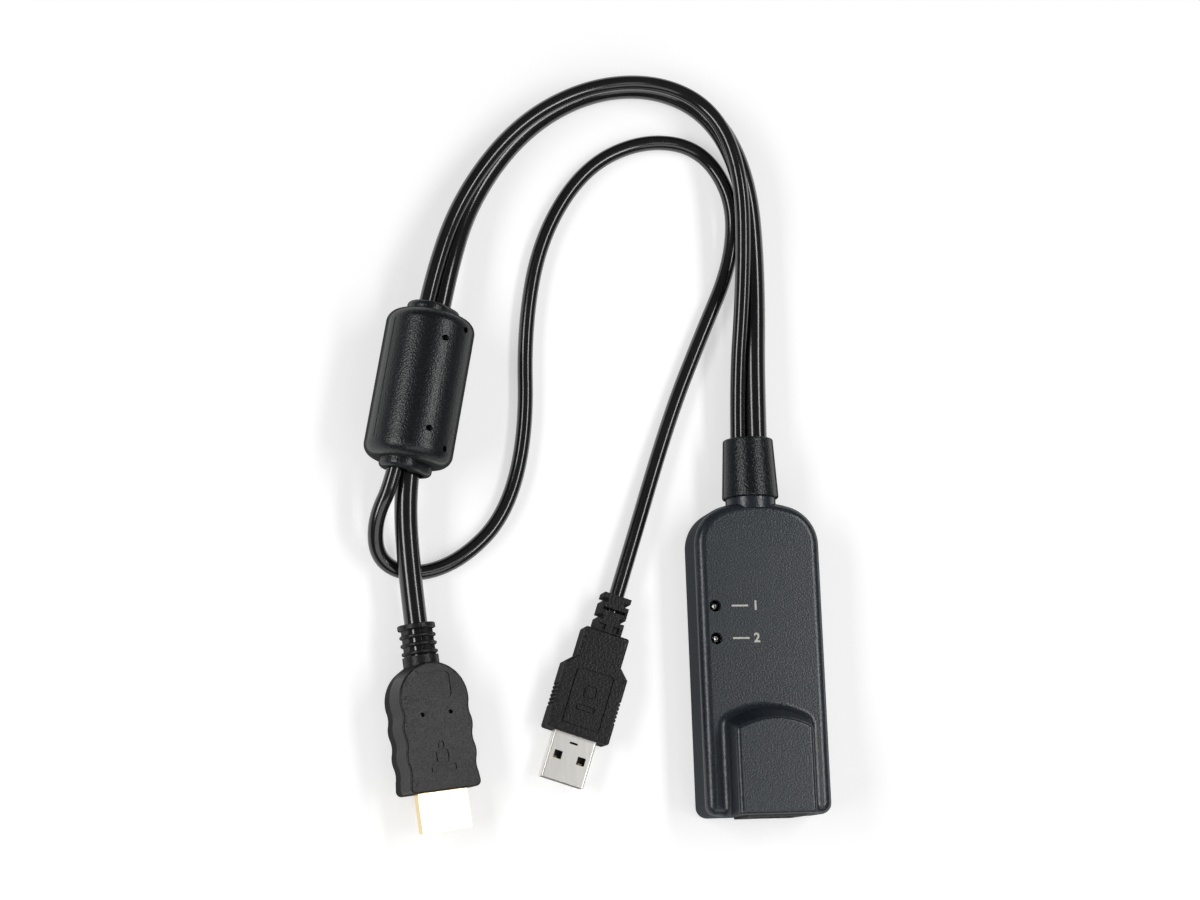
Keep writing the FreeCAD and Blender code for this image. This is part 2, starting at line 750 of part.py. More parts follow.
def build_screws():
    """Four self-tapping screws up through the bottom shell, as one group of solids."""
    screws = []
    for i, (x, y) in enumerate(boss_centres()):
        head = rod("screw_head_%d" % i, x, y, screw_head_recess, screw_head_diameter,
                   screw_head_height)
        shank = rod("screw_shank_%d" % i, x, y, screw_head_recess + screw_head_height / 2,
                    screw_diameter, screw_length)
        slot = block("screw_slot_%d" % i, x, y - screw_diameter, ZERO, screw_diameter / 3,
                     screw_diameter * 2, screw_head_recess + screw_head_height / 2)
        screws.append(cut("screw_%d" % i, fuse("screw_solid_%d" % i, [head, shank]), [slot]))
    group = doc.addObject("Part::Compound", "case_screws")
    group.Links = screws
    group.Label = "case_screws"
    parts["case_screws"] = group


# ---------------------------------------------------------------- board and what it carries
def build_board():
    """Circuit board on the four bosses, with its back corners cut to clear the arch."""
    body = new_body("circuit_board")
    start = front_face + wall + board_gap
    stop = cord_end - fit_gap
    width = body_width - wall * 2 - board_gap * 2
    outline = sketch(body, "board_outline", offset=board_height)
    polygon(outline, [(-width / 2, start), (width / 2, start), (width / 2, stop - board_corner),
                      (width / 2 - board_corner, stop), (board_corner - width / 2, stop),
                      (-width / 2, stop - board_corner)])
    pad(body, "board", outline, board_thickness)
    holes = sketch(body, "board_holes", offset=board_top)
    for x, y in boss_centres():
        circle(holes, x, y, screw_diameter + screw_hole_gap * 3)
    pocket(body, "screw_holes", holes, board_thickness * 2)


def on_board(label, x, y, width, length, height, bevel):
    """A boxed component on the board, with its top edges bevelled."""
    body = new_body(label)
    pad(body, label + "_case", rectangle(sketch(body, label + "_base", offset=board_top), x, y,
                                         width, length), height)
    dress(body, "Chamfer", label + "_bevel", lambda e: level_at(e, board_top + height), bevel)


def build_components():
    bevel = main_chip_height / 5
    on_board("main_chip", main_chip_side / 4, front_face + main_chip_place, main_chip_side,
             main_chip_side, main_chip_height, bevel)
    on_board("memory_chip", main_chip_side / 4, front_face + memory_chip_place, memory_chip_width,
             memory_chip_length, memory_chip_height, bevel)
    on_board("jack_transformer", ZERO, front_face + transformer_place, transformer_width,
             transformer_length, transformer_height, bevel)
    for label, x, diameter in (("video_cord_header", video_cord_x, video_cord_diameter),
                               ("data_cord_header", data_cord_x, data_cord_diameter)):
        on_board(label, x, cord_end - header_length / 2, diameter, header_length,
                 cord_height + diameter / 2 - board_top, bevel)


def build_clamp():
    """Bar that presses both cords into the cradle, held down by the roof."""
    body = new_body("cord_clamp")
    front = sketch(body, "clamp_front", "XZ_Plane", -cord_end - clamp_setback)
    low = cord_height + fit_gap
    high = roof_height - fit_gap
    rectangle(front, ZERO, (low + high) / 2, clamp_width, high - low)
    pad(body, "clamp_bar", front, clamp_length, Reversed=True)
    dress(body, "Fillet", "clamp_corners",
          lambda e: level_at(e, high) and e.BoundBox.XLength < 0.01, fit_gap * 4)
    bore_pair(body, "clamp", cord_height, clamp_grip, body_length)


def build_lights():
    """Two clear status lights on their legs, each with its dome just under the roof."""
    for i, label in enumerate(("lower_status_light", "upper_status_light")):
        body = new_body(label)
        top = body_height - light_sink
        foot = top - light_length
        radius = light_diameter / 2
        profile = sketch(body, label + "_profile", "XZ_Plane")
        waist = top - radius
        polygon(profile, [(ZERO, foot), (radius + light_flange / 3, foot),
                          (radius + light_flange / 3, foot + light_flange),
                          (radius, foot + light_flange), (radius, waist),
                          (radius * 0.707, waist + radius * 0.707), (ZERO, top)])
        turned(body, "Revolution", label + "_lens", profile, "Z_Axis")
        legs = sketch(body, label + "_legs", offset=board_top)
        rectangle(legs, -light_pitch / 2, ZERO, light_leg, light_leg)
        rectangle(legs, light_pitch / 2, ZERO, light_leg, light_leg)
        pad(body, label + "_leg_pair", legs, foot - board_top + fit_gap)
        body.setExpression("Placement.Base.x", (-light_offset).text)
        body.setExpression("Placement.Base.y",
                           (front_face + light_from_front + light_spacing * i).text)


def build_jack():
    """Network jack: a stepped mouth for the plug and its latch, over two front feet."""
    body = new_body("network_jack")
    face = front_face - jack_stand_out
    case = rectangle(sketch(body, "jack_base", offset=board_top), ZERO, face + jack_length / 2,
                     jack_width, jack_length)
    pad(body, "jack_case", case, jack_height)
    floor = board_top + mouth_floor
    steps = (("mouth", mouth_width, floor + mouth_height / 2, mouth_height),
             ("latch", latch_width, floor - latch_drop / 2, latch_drop),
             ("key", key_width, floor - latch_drop - key_drop / 2, key_drop))
    for name, width, middle, height in steps:
        opening = rectangle(sketch(body, name + "_shape", "XZ_Plane", -face), ZERO, middle, width,
                            height)
        pocket(body, name, opening, mouth_depth)
    notch = rectangle(sketch(body, "foot_notch_shape", "XZ_Plane", -face), ZERO,
                      board_top + foot_notch_height / 2, foot_notch_width, foot_notch_height)
    pocket(body, "foot_notch", notch, wall)
    dress(body, "Chamfer", "jack_back",
          lambda e: level_at(e, board_top + jack_height) and near(e.BoundBox.YMin, face + jack_length),
          jack_gap * 4)


def build_jack_contacts():
    """Eight sprung wires that lean from the mouth's ceiling to its back wall."""
    face = front_face - jack_stand_out
    ceiling = board_top + mouth_floor + mouth_height
    start = face + contact_start
    back = face + mouth_depth
    knee = back - contact_start
    low = ceiling - contact_dip
    body = new_body("jack_contacts")
    side = sketch(body, "contact_side", "YZ_Plane", -contact_pitch * 3.5 - contact_width / 2)
    polygon(side, [(start, ceiling), (knee, low - contact_thickness),
                   (back, low - contact_thickness), (back, low), (knee, low),
                   (start + contact_thickness * 4, ceiling)])
    wire = pad(body, "contact_wire", side, contact_width)
    line_up(body, "Spacing", "contact_row", wire, "X_Axis", contact_pitch, 8)


# ---------------------------------------------------------------- ferrite choke
def build_choke():
    """Moulded cover with rounded ends, oval collars and pin holes, round a ferrite tube."""
    body = new_body("ferrite_cover")
    half = choke_length / 2
    barrel = polygon(sketch(body, "cover_profile"), [
        (ZERO, -half), (choke_diameter / 2, -half), (choke_diameter / 2, half), (ZERO, half)])
    turned(body, "Revolution", "cover_barrel", barrel)
    dress(body, "Fillet", "cover_ends", lambda e: near(e.BoundBox.YLength, 0)
          and near(e.BoundBox.XMax, choke_diameter / 2), choke_round)
    oval = sketch(body, "collar_shape", "XZ_Plane")
    reach = collar_width / 2 - collar_height / 2
    slot_outline(oval, reach, collar_height / 2)
    pad(body, "collars", oval, choke_length + collar_length * 2, Midplane=True)
    dress(body, "Fillet", "collar_edges",
          lambda e: near(abs(e.BoundBox.YMin), half + collar_length)
          and near(e.BoundBox.YLength, 0), collar_length / 2.2)
    for name, x, inset, drop in (
            ("crown_pin", ZERO, crown_pin_inset, pin_hole_depth),
            ("side_pin", choke_diameter / 2 * math.sin(math.radians(float(side_pin_angle))),
             side_pin_inset, pin_hole_depth + choke_diameter / 2
             * (1 - math.cos(math.radians(float(side_pin_angle)))))):
        shape = sketch(body, name + "_shape", offset=choke_diameter / 2)
        for end in (-1, 1):
            for side in ((0,) if name == "crown_pin" else (-1, 1)):
                circle(shape, x * side, (half - inset) * end, pin_hole_diameter)
        holes = pocket(body, name, shape, drop)
        mirror(body, name + "_under", [holes], "XY_Plane")
    core_room = polygon(sketch(body, "core_room"), [
        (ZERO, -core_length / 2), (core_diameter / 2, -core_length / 2),
        (core_diameter / 2, core_length / 2), (ZERO, core_length / 2)])
    turned(body, "Groove", "core_pocket", core_room)
    bore_pair(body, "cover", ZERO, choke_cord_gap, choke_length * 2, Midplane=True)

    core = new_body("ferrite_core")
    ring = polygon(sketch(core, "core_profile"), [
        (core_bore / 2, -core_length / 2), (core_diameter / 2, -core_length / 2),
        (core_diameter / 2, core_length / 2), (core_bore / 2, core_length / 2)])
    turned(core, "Revolution", "core_tube", ring)


def slot_outline(drawing, reach, radius):
    """A stadium: two straight sides joined by half circles, centred on the origin."""
    r, a = float(radius), float(reach)
    top = drawing.addGeometry(Part.LineSegment(Vector(a, r, 0), Vector(-a, r, 0)))
    left = drawing.addGeometry(Part.ArcOfCircle(
        Part.Circle(Vector(-a, 0, 0), Vector(0, 0, 1), r), math.pi / 2, math.pi * 3 / 2))
    low = drawing.addGeometry(Part.LineSegment(Vector(-a, -r, 0), Vector(a, -r, 0)))
    right = drawing.addGeometry(Part.ArcOfCircle(
        Part.Circle(Vector(a, 0, 0), Vector(0, 0, 1), r), -math.pi / 2, math.pi / 2))
    ring = [top, left, low, right]
    for i in range(4):
        drawing.addConstraint(Sketcher.Constraint("Tangent", ring[i], 2, ring[(i + 1) % 4], 1))
    hold(drawing, "DistanceX", -1, 1, right, 3, reach)
    hold(drawing, "DistanceY", -1, 1, right, 3, ZERO)
    hold(drawing, "DistanceX", left, 3, -1, 1, reach)
    drawing.addConstraint(Sketcher.Constraint("Horizontal", top))
    hold(drawing, "Radius", right, radius)


# ---------------------------------------------------------------- what both plugs share
def engraved_frame(body, name, y, top, width, length, radius, line, depth):
    """Cuts a thin closed groove of rounded corners into a level top face."""
    groove = sketch(body, name + "_shape", offset=top)
    rounded(groove, ZERO, y, width, length, radius)
    rounded(groove, ZERO, y, width - line * 2, length - line * 2, radius - line)
    return pocket(body, name, groove, depth)


def seat_cord(body, diameter, gap):
    """Bores the relief for the cord, down to the face that the cord's end meets."""
    hole = circle(sketch(body, "cord_seat", "XZ_Plane"), ZERO, ZERO, diameter + gap * 2)
    pocket(body, "cord_socket", hole, plug_seat, Reversed=True)


def at_front(body, name, y):
    """A sketch that faces forward, for outlines seen from the front of a plug."""
    return sketch(body, name, "XZ_Plane", -y)


# ---------------------------------------------------------------- video plug
def video_outline(drawing, inset):
    """Plan of the video plug's body: domed rear, straight front, three dips each side."""
    w = video_body_width / 2 - inset
    rear = -video_relief_length - inset
    front = -video_relief_length - video_body_length
    quarter = video_wave_pitch / 4
    waist = w - video_wave_depth / 2
    half_dip = video_wave_depth / 2
    bend = (quarter * quarter + half_dip * half_dip) / (half_dip * 2)
    corner = video_front_corner
    dips = [front + video_wave_start + video_wave_pitch * i for i in range(3)]
    rise = rear - dips[2] - quarter
    dome = (rise * rise + waist * waist) / (rise * 2)
    right = [(w, front + corner, None)]
    left = []
    for i, dip in enumerate(dips):
        right += [(waist, dip - quarter, -bend), (waist, dip + quarter, bend)]
    right[-1] = (waist, dips[2] + quarter, dome)
    for i, dip in enumerate(reversed(dips)):
        left += [(-waist, dip + quarter, -bend), (-waist, dip - quarter, bend)]
    left[-1] = (-waist, dips[0] - quarter, None)
    return outline(drawing, [(corner - w, front, None), (w - corner, front, corner)] + right
                   + [(ZERO, rear, dome)] + left + [(-w, front + corner, corner)])


def build_video_plug():
    """Overmoulded body with its drafted, scalloped sides and a ribbed relief."""
    body = new_body("video_plug_body")
    half = video_body_height / 2
    middle = video_outline(sketch(body, "body_middle"), ZERO)
    face = video_outline(sketch(body, "body_face", offset=half), video_body_draft)
    drafted = feature(body, "AdditiveLoft", "upper_half", middle, Ruled=True)
    drafted.Sections = [face]
    mirror(body, "lower_half", [drafted], "XY_Plane")
    dress(body, "Fillet", "face_edges",
          lambda e: level_at(e, half) or level_at(e, -half), video_body_round)
    for name, angle, width in (("crown", -13, video_spine), ("side", 77, video_spine * 2)):
        spine = at_front(body, name + "_spine_shape", ZERO)
        spine.AttachmentOffset = Placement(Vector(), Rotation(Vector(0, 0, 1), angle))
        rectangle(spine, ZERO, ZERO, width, video_core_diameter)
        pad(body, name + "_spines", spine, video_relief_length + video_collar)
    ring = video_relief_diameter / 2
    bevel = video_rib / 4
    collar = polygon(sketch(body, "relief_collar_shape"), [
        (ZERO, -video_collar), (ring, -video_collar), (ring + bevel, bevel - video_collar),
        (ring + bevel, -bevel), (ring, ZERO), (ZERO, ZERO)])
    turned(body, "Revolution", "relief_collar", collar)
    base = polygon(sketch(body, "relief_base_shape"), [
        (ZERO, -video_relief_length - video_collar), (ring, -video_relief_length - video_collar),
        (ring, video_collar - video_relief_length), (ZERO, video_collar - video_relief_length)])
    turned(body, "Revolution", "relief_base", base)
    first = -video_collar - video_rib_pitch + video_rib
    rib = polygon(sketch(body, "relief_rib_shape"), [
        (ZERO, first - video_rib), (ring - bevel, first - video_rib),
        (ring, first - video_rib + bevel), (ring, first - bevel), (ring - bevel, first),
        (ZERO, first)])
    turned(body, "Revolution", "relief_rib", rib)
    line_up(body, "Spacing", "relief_ribs", body.Tip, "Y_Axis", video_rib_pitch, 3).Reversed = True
    seat_cord(body, video_cord_diameter, cord_gap)
    front = -video_relief_length - video_body_length
    video_profile(at_front(body, "shell_seat_shape", front), ZERO)
    pocket(body, "shell_seat", body.Group[-1], video_shell_root)
    badge = -video_relief_length - video_panel_place
    rounded(sketch(body, "panel_shape", offset=half), ZERO, badge, video_panel_width,
            video_panel_length, video_panel_length / 5)
    pocket(body, "panel", body.Group[-1], video_panel_depth)
    dots = sketch(body, "dot_shape", offset=half)
    for side in (-1, 1):
        circle(dots, video_dot_spacing * side / 2, -video_relief_length - video_dot_place,
               video_dot_diameter)
    pocket(body, "dots", dots, video_dot_diameter)
    line = video_mark_line
    depth = video_panel_depth
    engraved_frame(body, "mark_foot", front + video_wave_start, half, video_mark_width,
                   video_mark_width / 4, line * 2, line, depth)
    engraved_frame(body, "mark_case", front + video_wave_start + video_mark_width * 0.44, half,
                   video_mark_width / 2, video_mark_width / 2, line * 3, line, depth)
    engraved_frame(body, "mark_head", front + video_wave_start + video_mark_width * 0.84, half,
                   video_mark_width / 4, video_mark_width / 4, line * 2, line, depth)


def video_profile(drawing, inset):
    """The video shell's outline from the front: square above, bevelled below."""
    w = video_shell_width / 2
    h = video_shell_height / 2
    step = video_shell_step
    trim = inset * 0.41421
    return polygon(drawing, [
        (step - w + trim, inset - h), (w - step - trim, inset - h), (w - inset, step - h + trim),
        (w - inset, h - inset), (inset - w, h - inset), (inset - w, step - h + trim)])


def build_video_shell():
    """Plated shell, its insert with the slot, and nineteen contacts in two rows."""
    front = -video_relief_length - video_body_length
    root = front + video_shell_root
    mouth = front - video_shell_reach
    shell = new_body("video_plug_shell")
    pad(shell, "shell_tube", video_profile(at_front(shell, "shell_outline", root), ZERO),
        video_shell_root + video_shell_reach)
    pocket(shell, "shell_bore", video_profile(at_front(shell, "bore_outline", mouth),
                                              video_shell_wall),
           video_shell_root + video_shell_reach + 1)
    insert = new_body("video_plug_insulator")
    pad(insert, "insert_block", video_profile(at_front(insert, "insert_outline", root),
                                              video_shell_wall),
        video_shell_root + video_shell_reach - video_tongue_recess)
    slot = rectangle(at_front(insert, "slot_shape", mouth), ZERO, video_shell_wall / 2,
                     video_slot_width, video_slot_height)
    pocket(insert, "slot", slot, video_tongue_recess + video_slot_depth)
    contacts = new_body("video_plug_contacts")
    start = mouth + video_tongue_recess * 2
    stop = mouth + video_tongue_recess + video_slot_depth
    for name, count, z, shift in (
            ("upper", 10, video_slot_height / 2 + video_shell_wall / 2, 0.5),
            ("lower", 9, video_shell_wall / 2 - video_slot_height / 2, 0.0)):
        low = z - video_contact_thickness if name == "upper" else z
        blade = rectangle(sketch(contacts, name + "_blade", offset=low),
                          video_contact_pitch * ((count - 1) / -2.0), (start + stop) / 2,
                          video_contact_width, stop - start)
        pad(contacts, name + "_contact", blade, video_contact_thickness)
        line_up(contacts, "Spacing", name + "_row", contacts.Tip, "X_Axis", video_contact_pitch,
                count)


# ---------------------------------------------------------------- data plug
def build_data_plug():
    """Flat overmoulded body with sloped shoulders, side grips and a slotted relief."""
    body = new_body("data_plug_body")
    half = data_body_height / 2
    rear = -data_relief_length
    front = rear - data_body_length
    w = data_body_width / 2
    slim = data_rear_width / 2
    shoulder = rear - data_rear_length
    foot = shoulder - data_shoulder
    plan = polygon(sketch(body, "body_plan", offset=-half), [
        (-w, front), (w, front), (w, foot), (slim, shoulder),
        (slim, rear), (-slim, rear), (-slim, shoulder), (-w, foot)])
    pad(body, "body_block", plan, data_body_height)
    dress(body, "Fillet", "body_edges",
          lambda e: level_at(e, half) or level_at(e, -half)
          or upright(e) and (near(e.CenterOfMass.y, rear) or near(e.CenterOfMass.y, front)),
          data_body_round)
    grips = sketch(body, "grip_shape", offset=half)
    for side in (-1, 1):
        for i in range(6):
            rectangle(grips, w * side, foot - data_grip_place - data_grip_pitch * i,
                      data_grip_depth * 2, data_grip_pitch / 2)
    pocket(body, "grip_notches", grips, data_body_height + 1)
    relief = rectangle(sketch(body, "relief_plan", offset=-data_relief_height / 2), ZERO,
                       (rear - 1) / 2, data_relief_width, data_relief_length + 1)
    pad(body, "relief_block", relief, data_relief_height)
    slots = sketch(body, "slot_plan", offset=data_relief_height / 2)
    first = -data_notch_pitch * 0.43
    for side in (-1, 1):
        for i in range(2):
            rectangle(slots, data_relief_width * side / 2, first - data_notch_pitch * i,
                      data_notch * 2.6, data_notch)
    pocket(body, "relief_slots", slots, data_relief_height + 1)
    across = rectangle(sketch(body, "cross_slot_plan", offset=data_relief_height / 2), ZERO,
                       first - data_notch_pitch / 2, data_relief_width - data_notch,
                       data_notch * 0.75)
    cross = pocket(body, "cross_slot", across, data_relief_height / 2 - data_cord_diameter / 3)
    mirror(body, "cross_slot_under", [cross], "XY_Plane")
    hollows = sketch(body, "root_hollow_plan", offset=data_relief_height / 2)
    for side in (-1, 1):
        rectangle(hollows, data_relief_width * side / 4, rear + data_notch, data_notch * 1.6,
                  data_notch * 1.4)
    pocket(body, "root_hollows", hollows, data_notch * 0.7)
    seat_cord(body, data_cord_diameter, cord_gap)
    badge = front + data_panel_place + data_panel_length / 2
    line = data_panel_groove
    engraved_frame(body, "panel_line", badge, half, data_panel_width, data_panel_length, line * 3,
                   line, line)
    engraved_frame(body, "mark_bar", badge - data_panel_length / 6, half, data_panel_width / 2,
                   data_panel_width / 6, line * 2, line, line)
    engraved_frame(body, "mark_ring", badge + data_panel_length / 8, half, data_panel_width / 3,
                   data_panel_width / 3, line * 3, line, line)
    seat = rounded(at_front(body, "shell_seat_shape", front), ZERO, ZERO, data_shell_width,
                   data_shell_height, data_shell_round)
    pocket(body, "shell_seat", seat, data_shell_root)


def build_data_shell():
    """Folded shell with latch windows, over a tongue that carries four contacts."""
    front = -data_relief_length - data_body_length
    root = front + data_shell_root
    mouth = front - data_shell_reach
    inner_width = data_shell_width - data_shell_wall * 2
    inner_height = data_shell_height - data_shell_wall * 2
    inner_round = data_shell_round - data_shell_wall
    shell = new_body("data_plug_shell")
    pad(shell, "shell_tube", rounded(at_front(shell, "shell_outline", root), ZERO, ZERO,
                                     data_shell_width, data_shell_height, data_shell_round),
        data_shell_root + data_shell_reach)
    pocket(shell, "shell_bore", rounded(at_front(shell, "bore_outline", mouth), ZERO, ZERO,
                                        inner_width, inner_height, inner_round),
           data_shell_root + data_shell_reach + 1)
    windows = sketch(shell, "window_shape", offset=data_shell_height)
    for side in (-1, 1):
        rectangle(windows, window_spacing * side / 2, mouth + window_place, window_side,
                  window_side)
    rectangle(windows, ZERO, mouth + window_place + window_side * 1.8, window_side,
              window_side / 4)
    pocket(shell, "windows", windows, data_shell_height * 2)

    insert = new_body("data_plug_insulator")
    tongue_width = inner_width - inner_round * 2
    floor = -inner_height / 2
    tongue = rectangle(at_front(insert, "tongue_shape", root), ZERO, floor + tongue_height / 2,
                       tongue_width, tongue_height)
    pad(insert, "tongue", tongue, data_shell_root + data_shell_reach - tongue_recess)
    rear_block = rectangle(at_front(insert, "rear_block_shape", root), ZERO, ZERO, tongue_width,
                           inner_height)
    pad(insert, "rear_block", rear_block, data_shell_root)
    contacts = new_body("data_plug_contacts")
    strips = sketch(contacts, "contact_shape", offset=floor + tongue_height)
    for x, start, stop in ((-3.5, 1.4, 10.4), (-1.0, 2.4, 10.4), (1.0, 2.4, 10.4),
                           (3.5, 1.4, 10.4)):
        rectangle(strips, data_contact_width * x, mouth + tongue_recess * ((start + stop) / 2),
                  data_contact_width, tongue_recess * (stop - start))
    pad(contacts, "contact_strips", strips, data_contact_thickness)


# ---------------------------------------------------------------- cords
VIDEO_ROUTE = [
    (2.15, 24.6, 7.8), (2.15, 60.6, 7.8), (4.9, 99.6, 5.7), (3.3, 126.5, 6.9), (-4.9, 145.4, 4.8),
    (-20.8, 153.8, 3.2), (-41.0, 151.6, 3.15), (-60.2, 139.6, 3.2), (-75.5, 118.6, 5.1),
    (-83.4, 95.1, 9.7), (-89.8, 63.8, 10.2), (-95.7, 38.8, 10.1), (-94.5, 14.4, 7.8),
    (-91.8, -8.7, 7.8)]
DATA_ROUTE = [
    (-3.15, 24.6, 7.8), (-3.15, 60.6, 7.8), (0.3, 97.6, 10.8), (0.7, 126.0, 12.1),
    (-5.7, 144.9, 10.3), (-20.9, 153.4, 8.6), (-41.7, 151.4, 8.6), (-61.8, 139.8, 8.7),
    (-78.1, 118.9, 10.1), (-87.4, 95.4, 13.7), (-94.0, 64.4, 14.1), (-98.9, 39.5, 14.2),
    (-103.8, 28.9, 9.6), (-102.3, 18.9, 4.4), (-92.6, 15.1, 2.15), (-79.5, 19.3, 2.15),
    (-67.0, 31.6, 2.15), (-60.7, 53.6, 2.15), (-60.4, 83.6, 2.15), (-55.1, 109.1, 2.15),
    (-42.2, 129.4, 2.15), (-25.0, 138.2, 2.15), (-8.3, 136.4, 2.15), (0.8, 122.1, 2.15),
    (-0.6, 103.1, 2.15), (-10.6, 81.6, 2.15), (-20.6, 58.6, 2.15), (-34.1, 19.65, 3.95),
    (-41.2, -1.0, 3.95)]
CHOKE_AT = (-91.25, 64.0, 11.95)
CHOKE_TURN = -11.4
CHOKE_ROLL = 45.0
VIDEO_ROLL = 14.0


def build_cord(label, route, diameter):
    """Sweeps a round cord along straight runs that tangent arcs join."""
    points = [Vector(*point) for point in route]
    edges = []
    here = points[0]
    length = 0.0
    for before, corner, after in zip(points, points[1:], points[2:]):
        back = (before - corner)
        ahead = (after - corner)
        reach = 0.45 * min(back.Length, ahead.Length)
        back.normalize()
        ahead.normalize()
        half_turn = (math.pi - back.getAngle(ahead)) / 2
        radius = reach / math.tan(half_turn)
        start, stop = corner + back * reach, corner + ahead * reach
        inward = back + ahead
        inward.normalize()
        centre = corner + inward * (radius / math.cos(half_turn))
        middle = centre - inward * radius
        edges.append(Part.LineSegment(here, start).toShape())
        edges.append(Part.Arc(start, middle, stop).toShape())
        length += (start - here).Length + radius * half_turn * 2
        here = stop
    edges.append(Part.LineSegment(here, points[-1]).toShape())
    length += (points[-1] - here).Length
    spine = Part.Wire(edges)
    along = points[1] - points[0]
    ring = Part.Wire(Part.makeCircle(float(diameter) / 2, points[0], along))
    tube = spine.makePipeShell([ring], True, True)
    if len(tube.Solids) != 1 or not tube.isValid():
        raise ValueError("the %s did not sweep into one solid" % label)
    solid = tube.Solids[0]
    if solid.Volume < 0:
        solid = solid.reversed()
    section = math.pi * float(diameter) ** 2 / 4
    print("%s: radius %.2f mm, length %.1f mm, volume %.0f mm3, section by length %.0f mm3"
          % (label, float(diameter) / 2, length, solid.Volume, section * length))
    made = doc.addObject("Part::Feature", label)
    made.Shape = solid
    made.Label = label
    parts[label] = made


def seat_plug(labels, route, roll):
    """Sets a plug's sub-parts on the end of their cord, in line with its last run."""
    end, before = Vector(*route[-1]), Vector(*route[-2])
    along = (end - before).normalize()
    tip = end - along * float(plug_seat)
    turn = math.degrees(math.atan2(along.x, -along.y))
    for label in labels:
        place(label, tip.x, tip.y, tip.z, turn, roll)


# ---------------------------------------------------------------- build, check and write
build_top_shell()
build_bottom_shell()
build_boot()
build_screws()
build_board()
build_components()
build_clamp()
build_lights()
build_jack()
build_jack_contacts()
build_choke()
build_video_plug()
build_video_shell()
build_data_plug()
build_data_shell()
build_cord("video_cord", VIDEO_ROUTE, video_cord_diameter)
build_cord("data_cord", DATA_ROUTE, data_cord_diameter)
for name in ("ferrite_cover", "ferrite_core"):
    place(name, CHOKE_AT[0], CHOKE_AT[1], CHOKE_AT[2], CHOKE_TURN, CHOKE_ROLL)
seat_plug(["video_plug_body", "video_plug_shell", "video_plug_insulator", "video_plug_contacts"],
          VIDEO_ROUTE, VIDEO_ROLL)
seat_plug(["data_plug_body", "data_plug_shell", "data_plug_insulator", "data_plug_contacts"],
          DATA_ROUTE, 0.0)
doc.recompute()

for item in doc.Objects:
    if "Invalid" in item.State or "Error" in item.State:
        raise ValueError("%s did not rebuild: %s" % (item.Label, item.State))

NODES = [
    "top_shell", "bottom_shell", "cord_boot", "circuit_board", "network_jack", "jack_contacts",
    "lower_status_light", "upper_status_light", "main_chip", "memory_chip", "jack_transformer",
    "video_cord_header", "data_cord_header", "cord_clamp", "case_screws", "ferrite_cover",
    "ferrite_core", "video_cord", "data_cord", "video_plug_body", "video_plug_shell",
    "video_plug_insulator", "video_plug_contacts", "data_plug_body", "data_plug_shell",
    "data_plug_insulator", "data_plug_contacts"]
os.makedirs("parts", exist_ok=True)
for name in NODES:
    shape = parts[name].Shape
    if shape.isNull() or not shape.isValid():
        raise ValueError("%s has no sound shape" % name)
    shape.exportStep("parts/%s.step" % name)
    print("%s: %d solid(s), %.1f mm3" % (name, len(shape.Solids), shape.Volume))
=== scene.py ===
# %% [markdown]
# # A KVM dongle lying on a pale table
# A KVM dongle joins one computer to a shared screen, keyboard and mouse. It is a plastic housing with a
# hooded network jack at one end and two cords at the other, which share a choke and end in plugs. All of it
# could be modelled here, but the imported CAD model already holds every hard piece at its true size. So this
# script dresses that frame: it lays the two cords as smooth curves, gives every piece a material made of
# nodes, and adds the small things that only show in a close look.

import bpy
import bmesh
import math
from mathutils import Matrix, Vector


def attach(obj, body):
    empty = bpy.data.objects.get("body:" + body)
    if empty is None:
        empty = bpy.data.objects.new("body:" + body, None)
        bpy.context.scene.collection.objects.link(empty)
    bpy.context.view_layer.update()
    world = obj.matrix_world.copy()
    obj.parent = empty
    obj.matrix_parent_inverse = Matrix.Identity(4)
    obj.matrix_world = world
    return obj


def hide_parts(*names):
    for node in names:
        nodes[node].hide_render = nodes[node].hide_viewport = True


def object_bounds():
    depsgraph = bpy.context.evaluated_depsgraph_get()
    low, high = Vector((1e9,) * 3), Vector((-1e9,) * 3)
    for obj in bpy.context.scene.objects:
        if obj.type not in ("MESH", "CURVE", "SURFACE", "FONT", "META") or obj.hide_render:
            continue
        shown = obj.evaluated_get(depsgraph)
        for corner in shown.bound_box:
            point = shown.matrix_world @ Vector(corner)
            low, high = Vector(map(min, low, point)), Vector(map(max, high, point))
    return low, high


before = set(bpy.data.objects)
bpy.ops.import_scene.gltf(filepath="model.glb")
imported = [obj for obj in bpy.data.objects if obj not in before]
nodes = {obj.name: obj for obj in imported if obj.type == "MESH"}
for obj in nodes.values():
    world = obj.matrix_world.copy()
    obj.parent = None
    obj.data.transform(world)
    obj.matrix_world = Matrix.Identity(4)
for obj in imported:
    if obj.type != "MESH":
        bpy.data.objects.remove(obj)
cad_low, cad_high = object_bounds()
print("CAD box in mm:", [round(v * 1000, 1) for v in (*cad_low, *cad_high)])

# %% [markdown]
# ## The camera
# The object lies flat and is seen from above, from a little to the left and in front, so the left wall of
# the hood and the left sides of the plugs show. A short lens close by would bend these shapes, so a long
# lens stands about 0.7 m away. The camera could be aimed by angles, but angles are easy to mix up. It is
# placed by the direction to its right and the direction that is up in its picture, and the third follows.

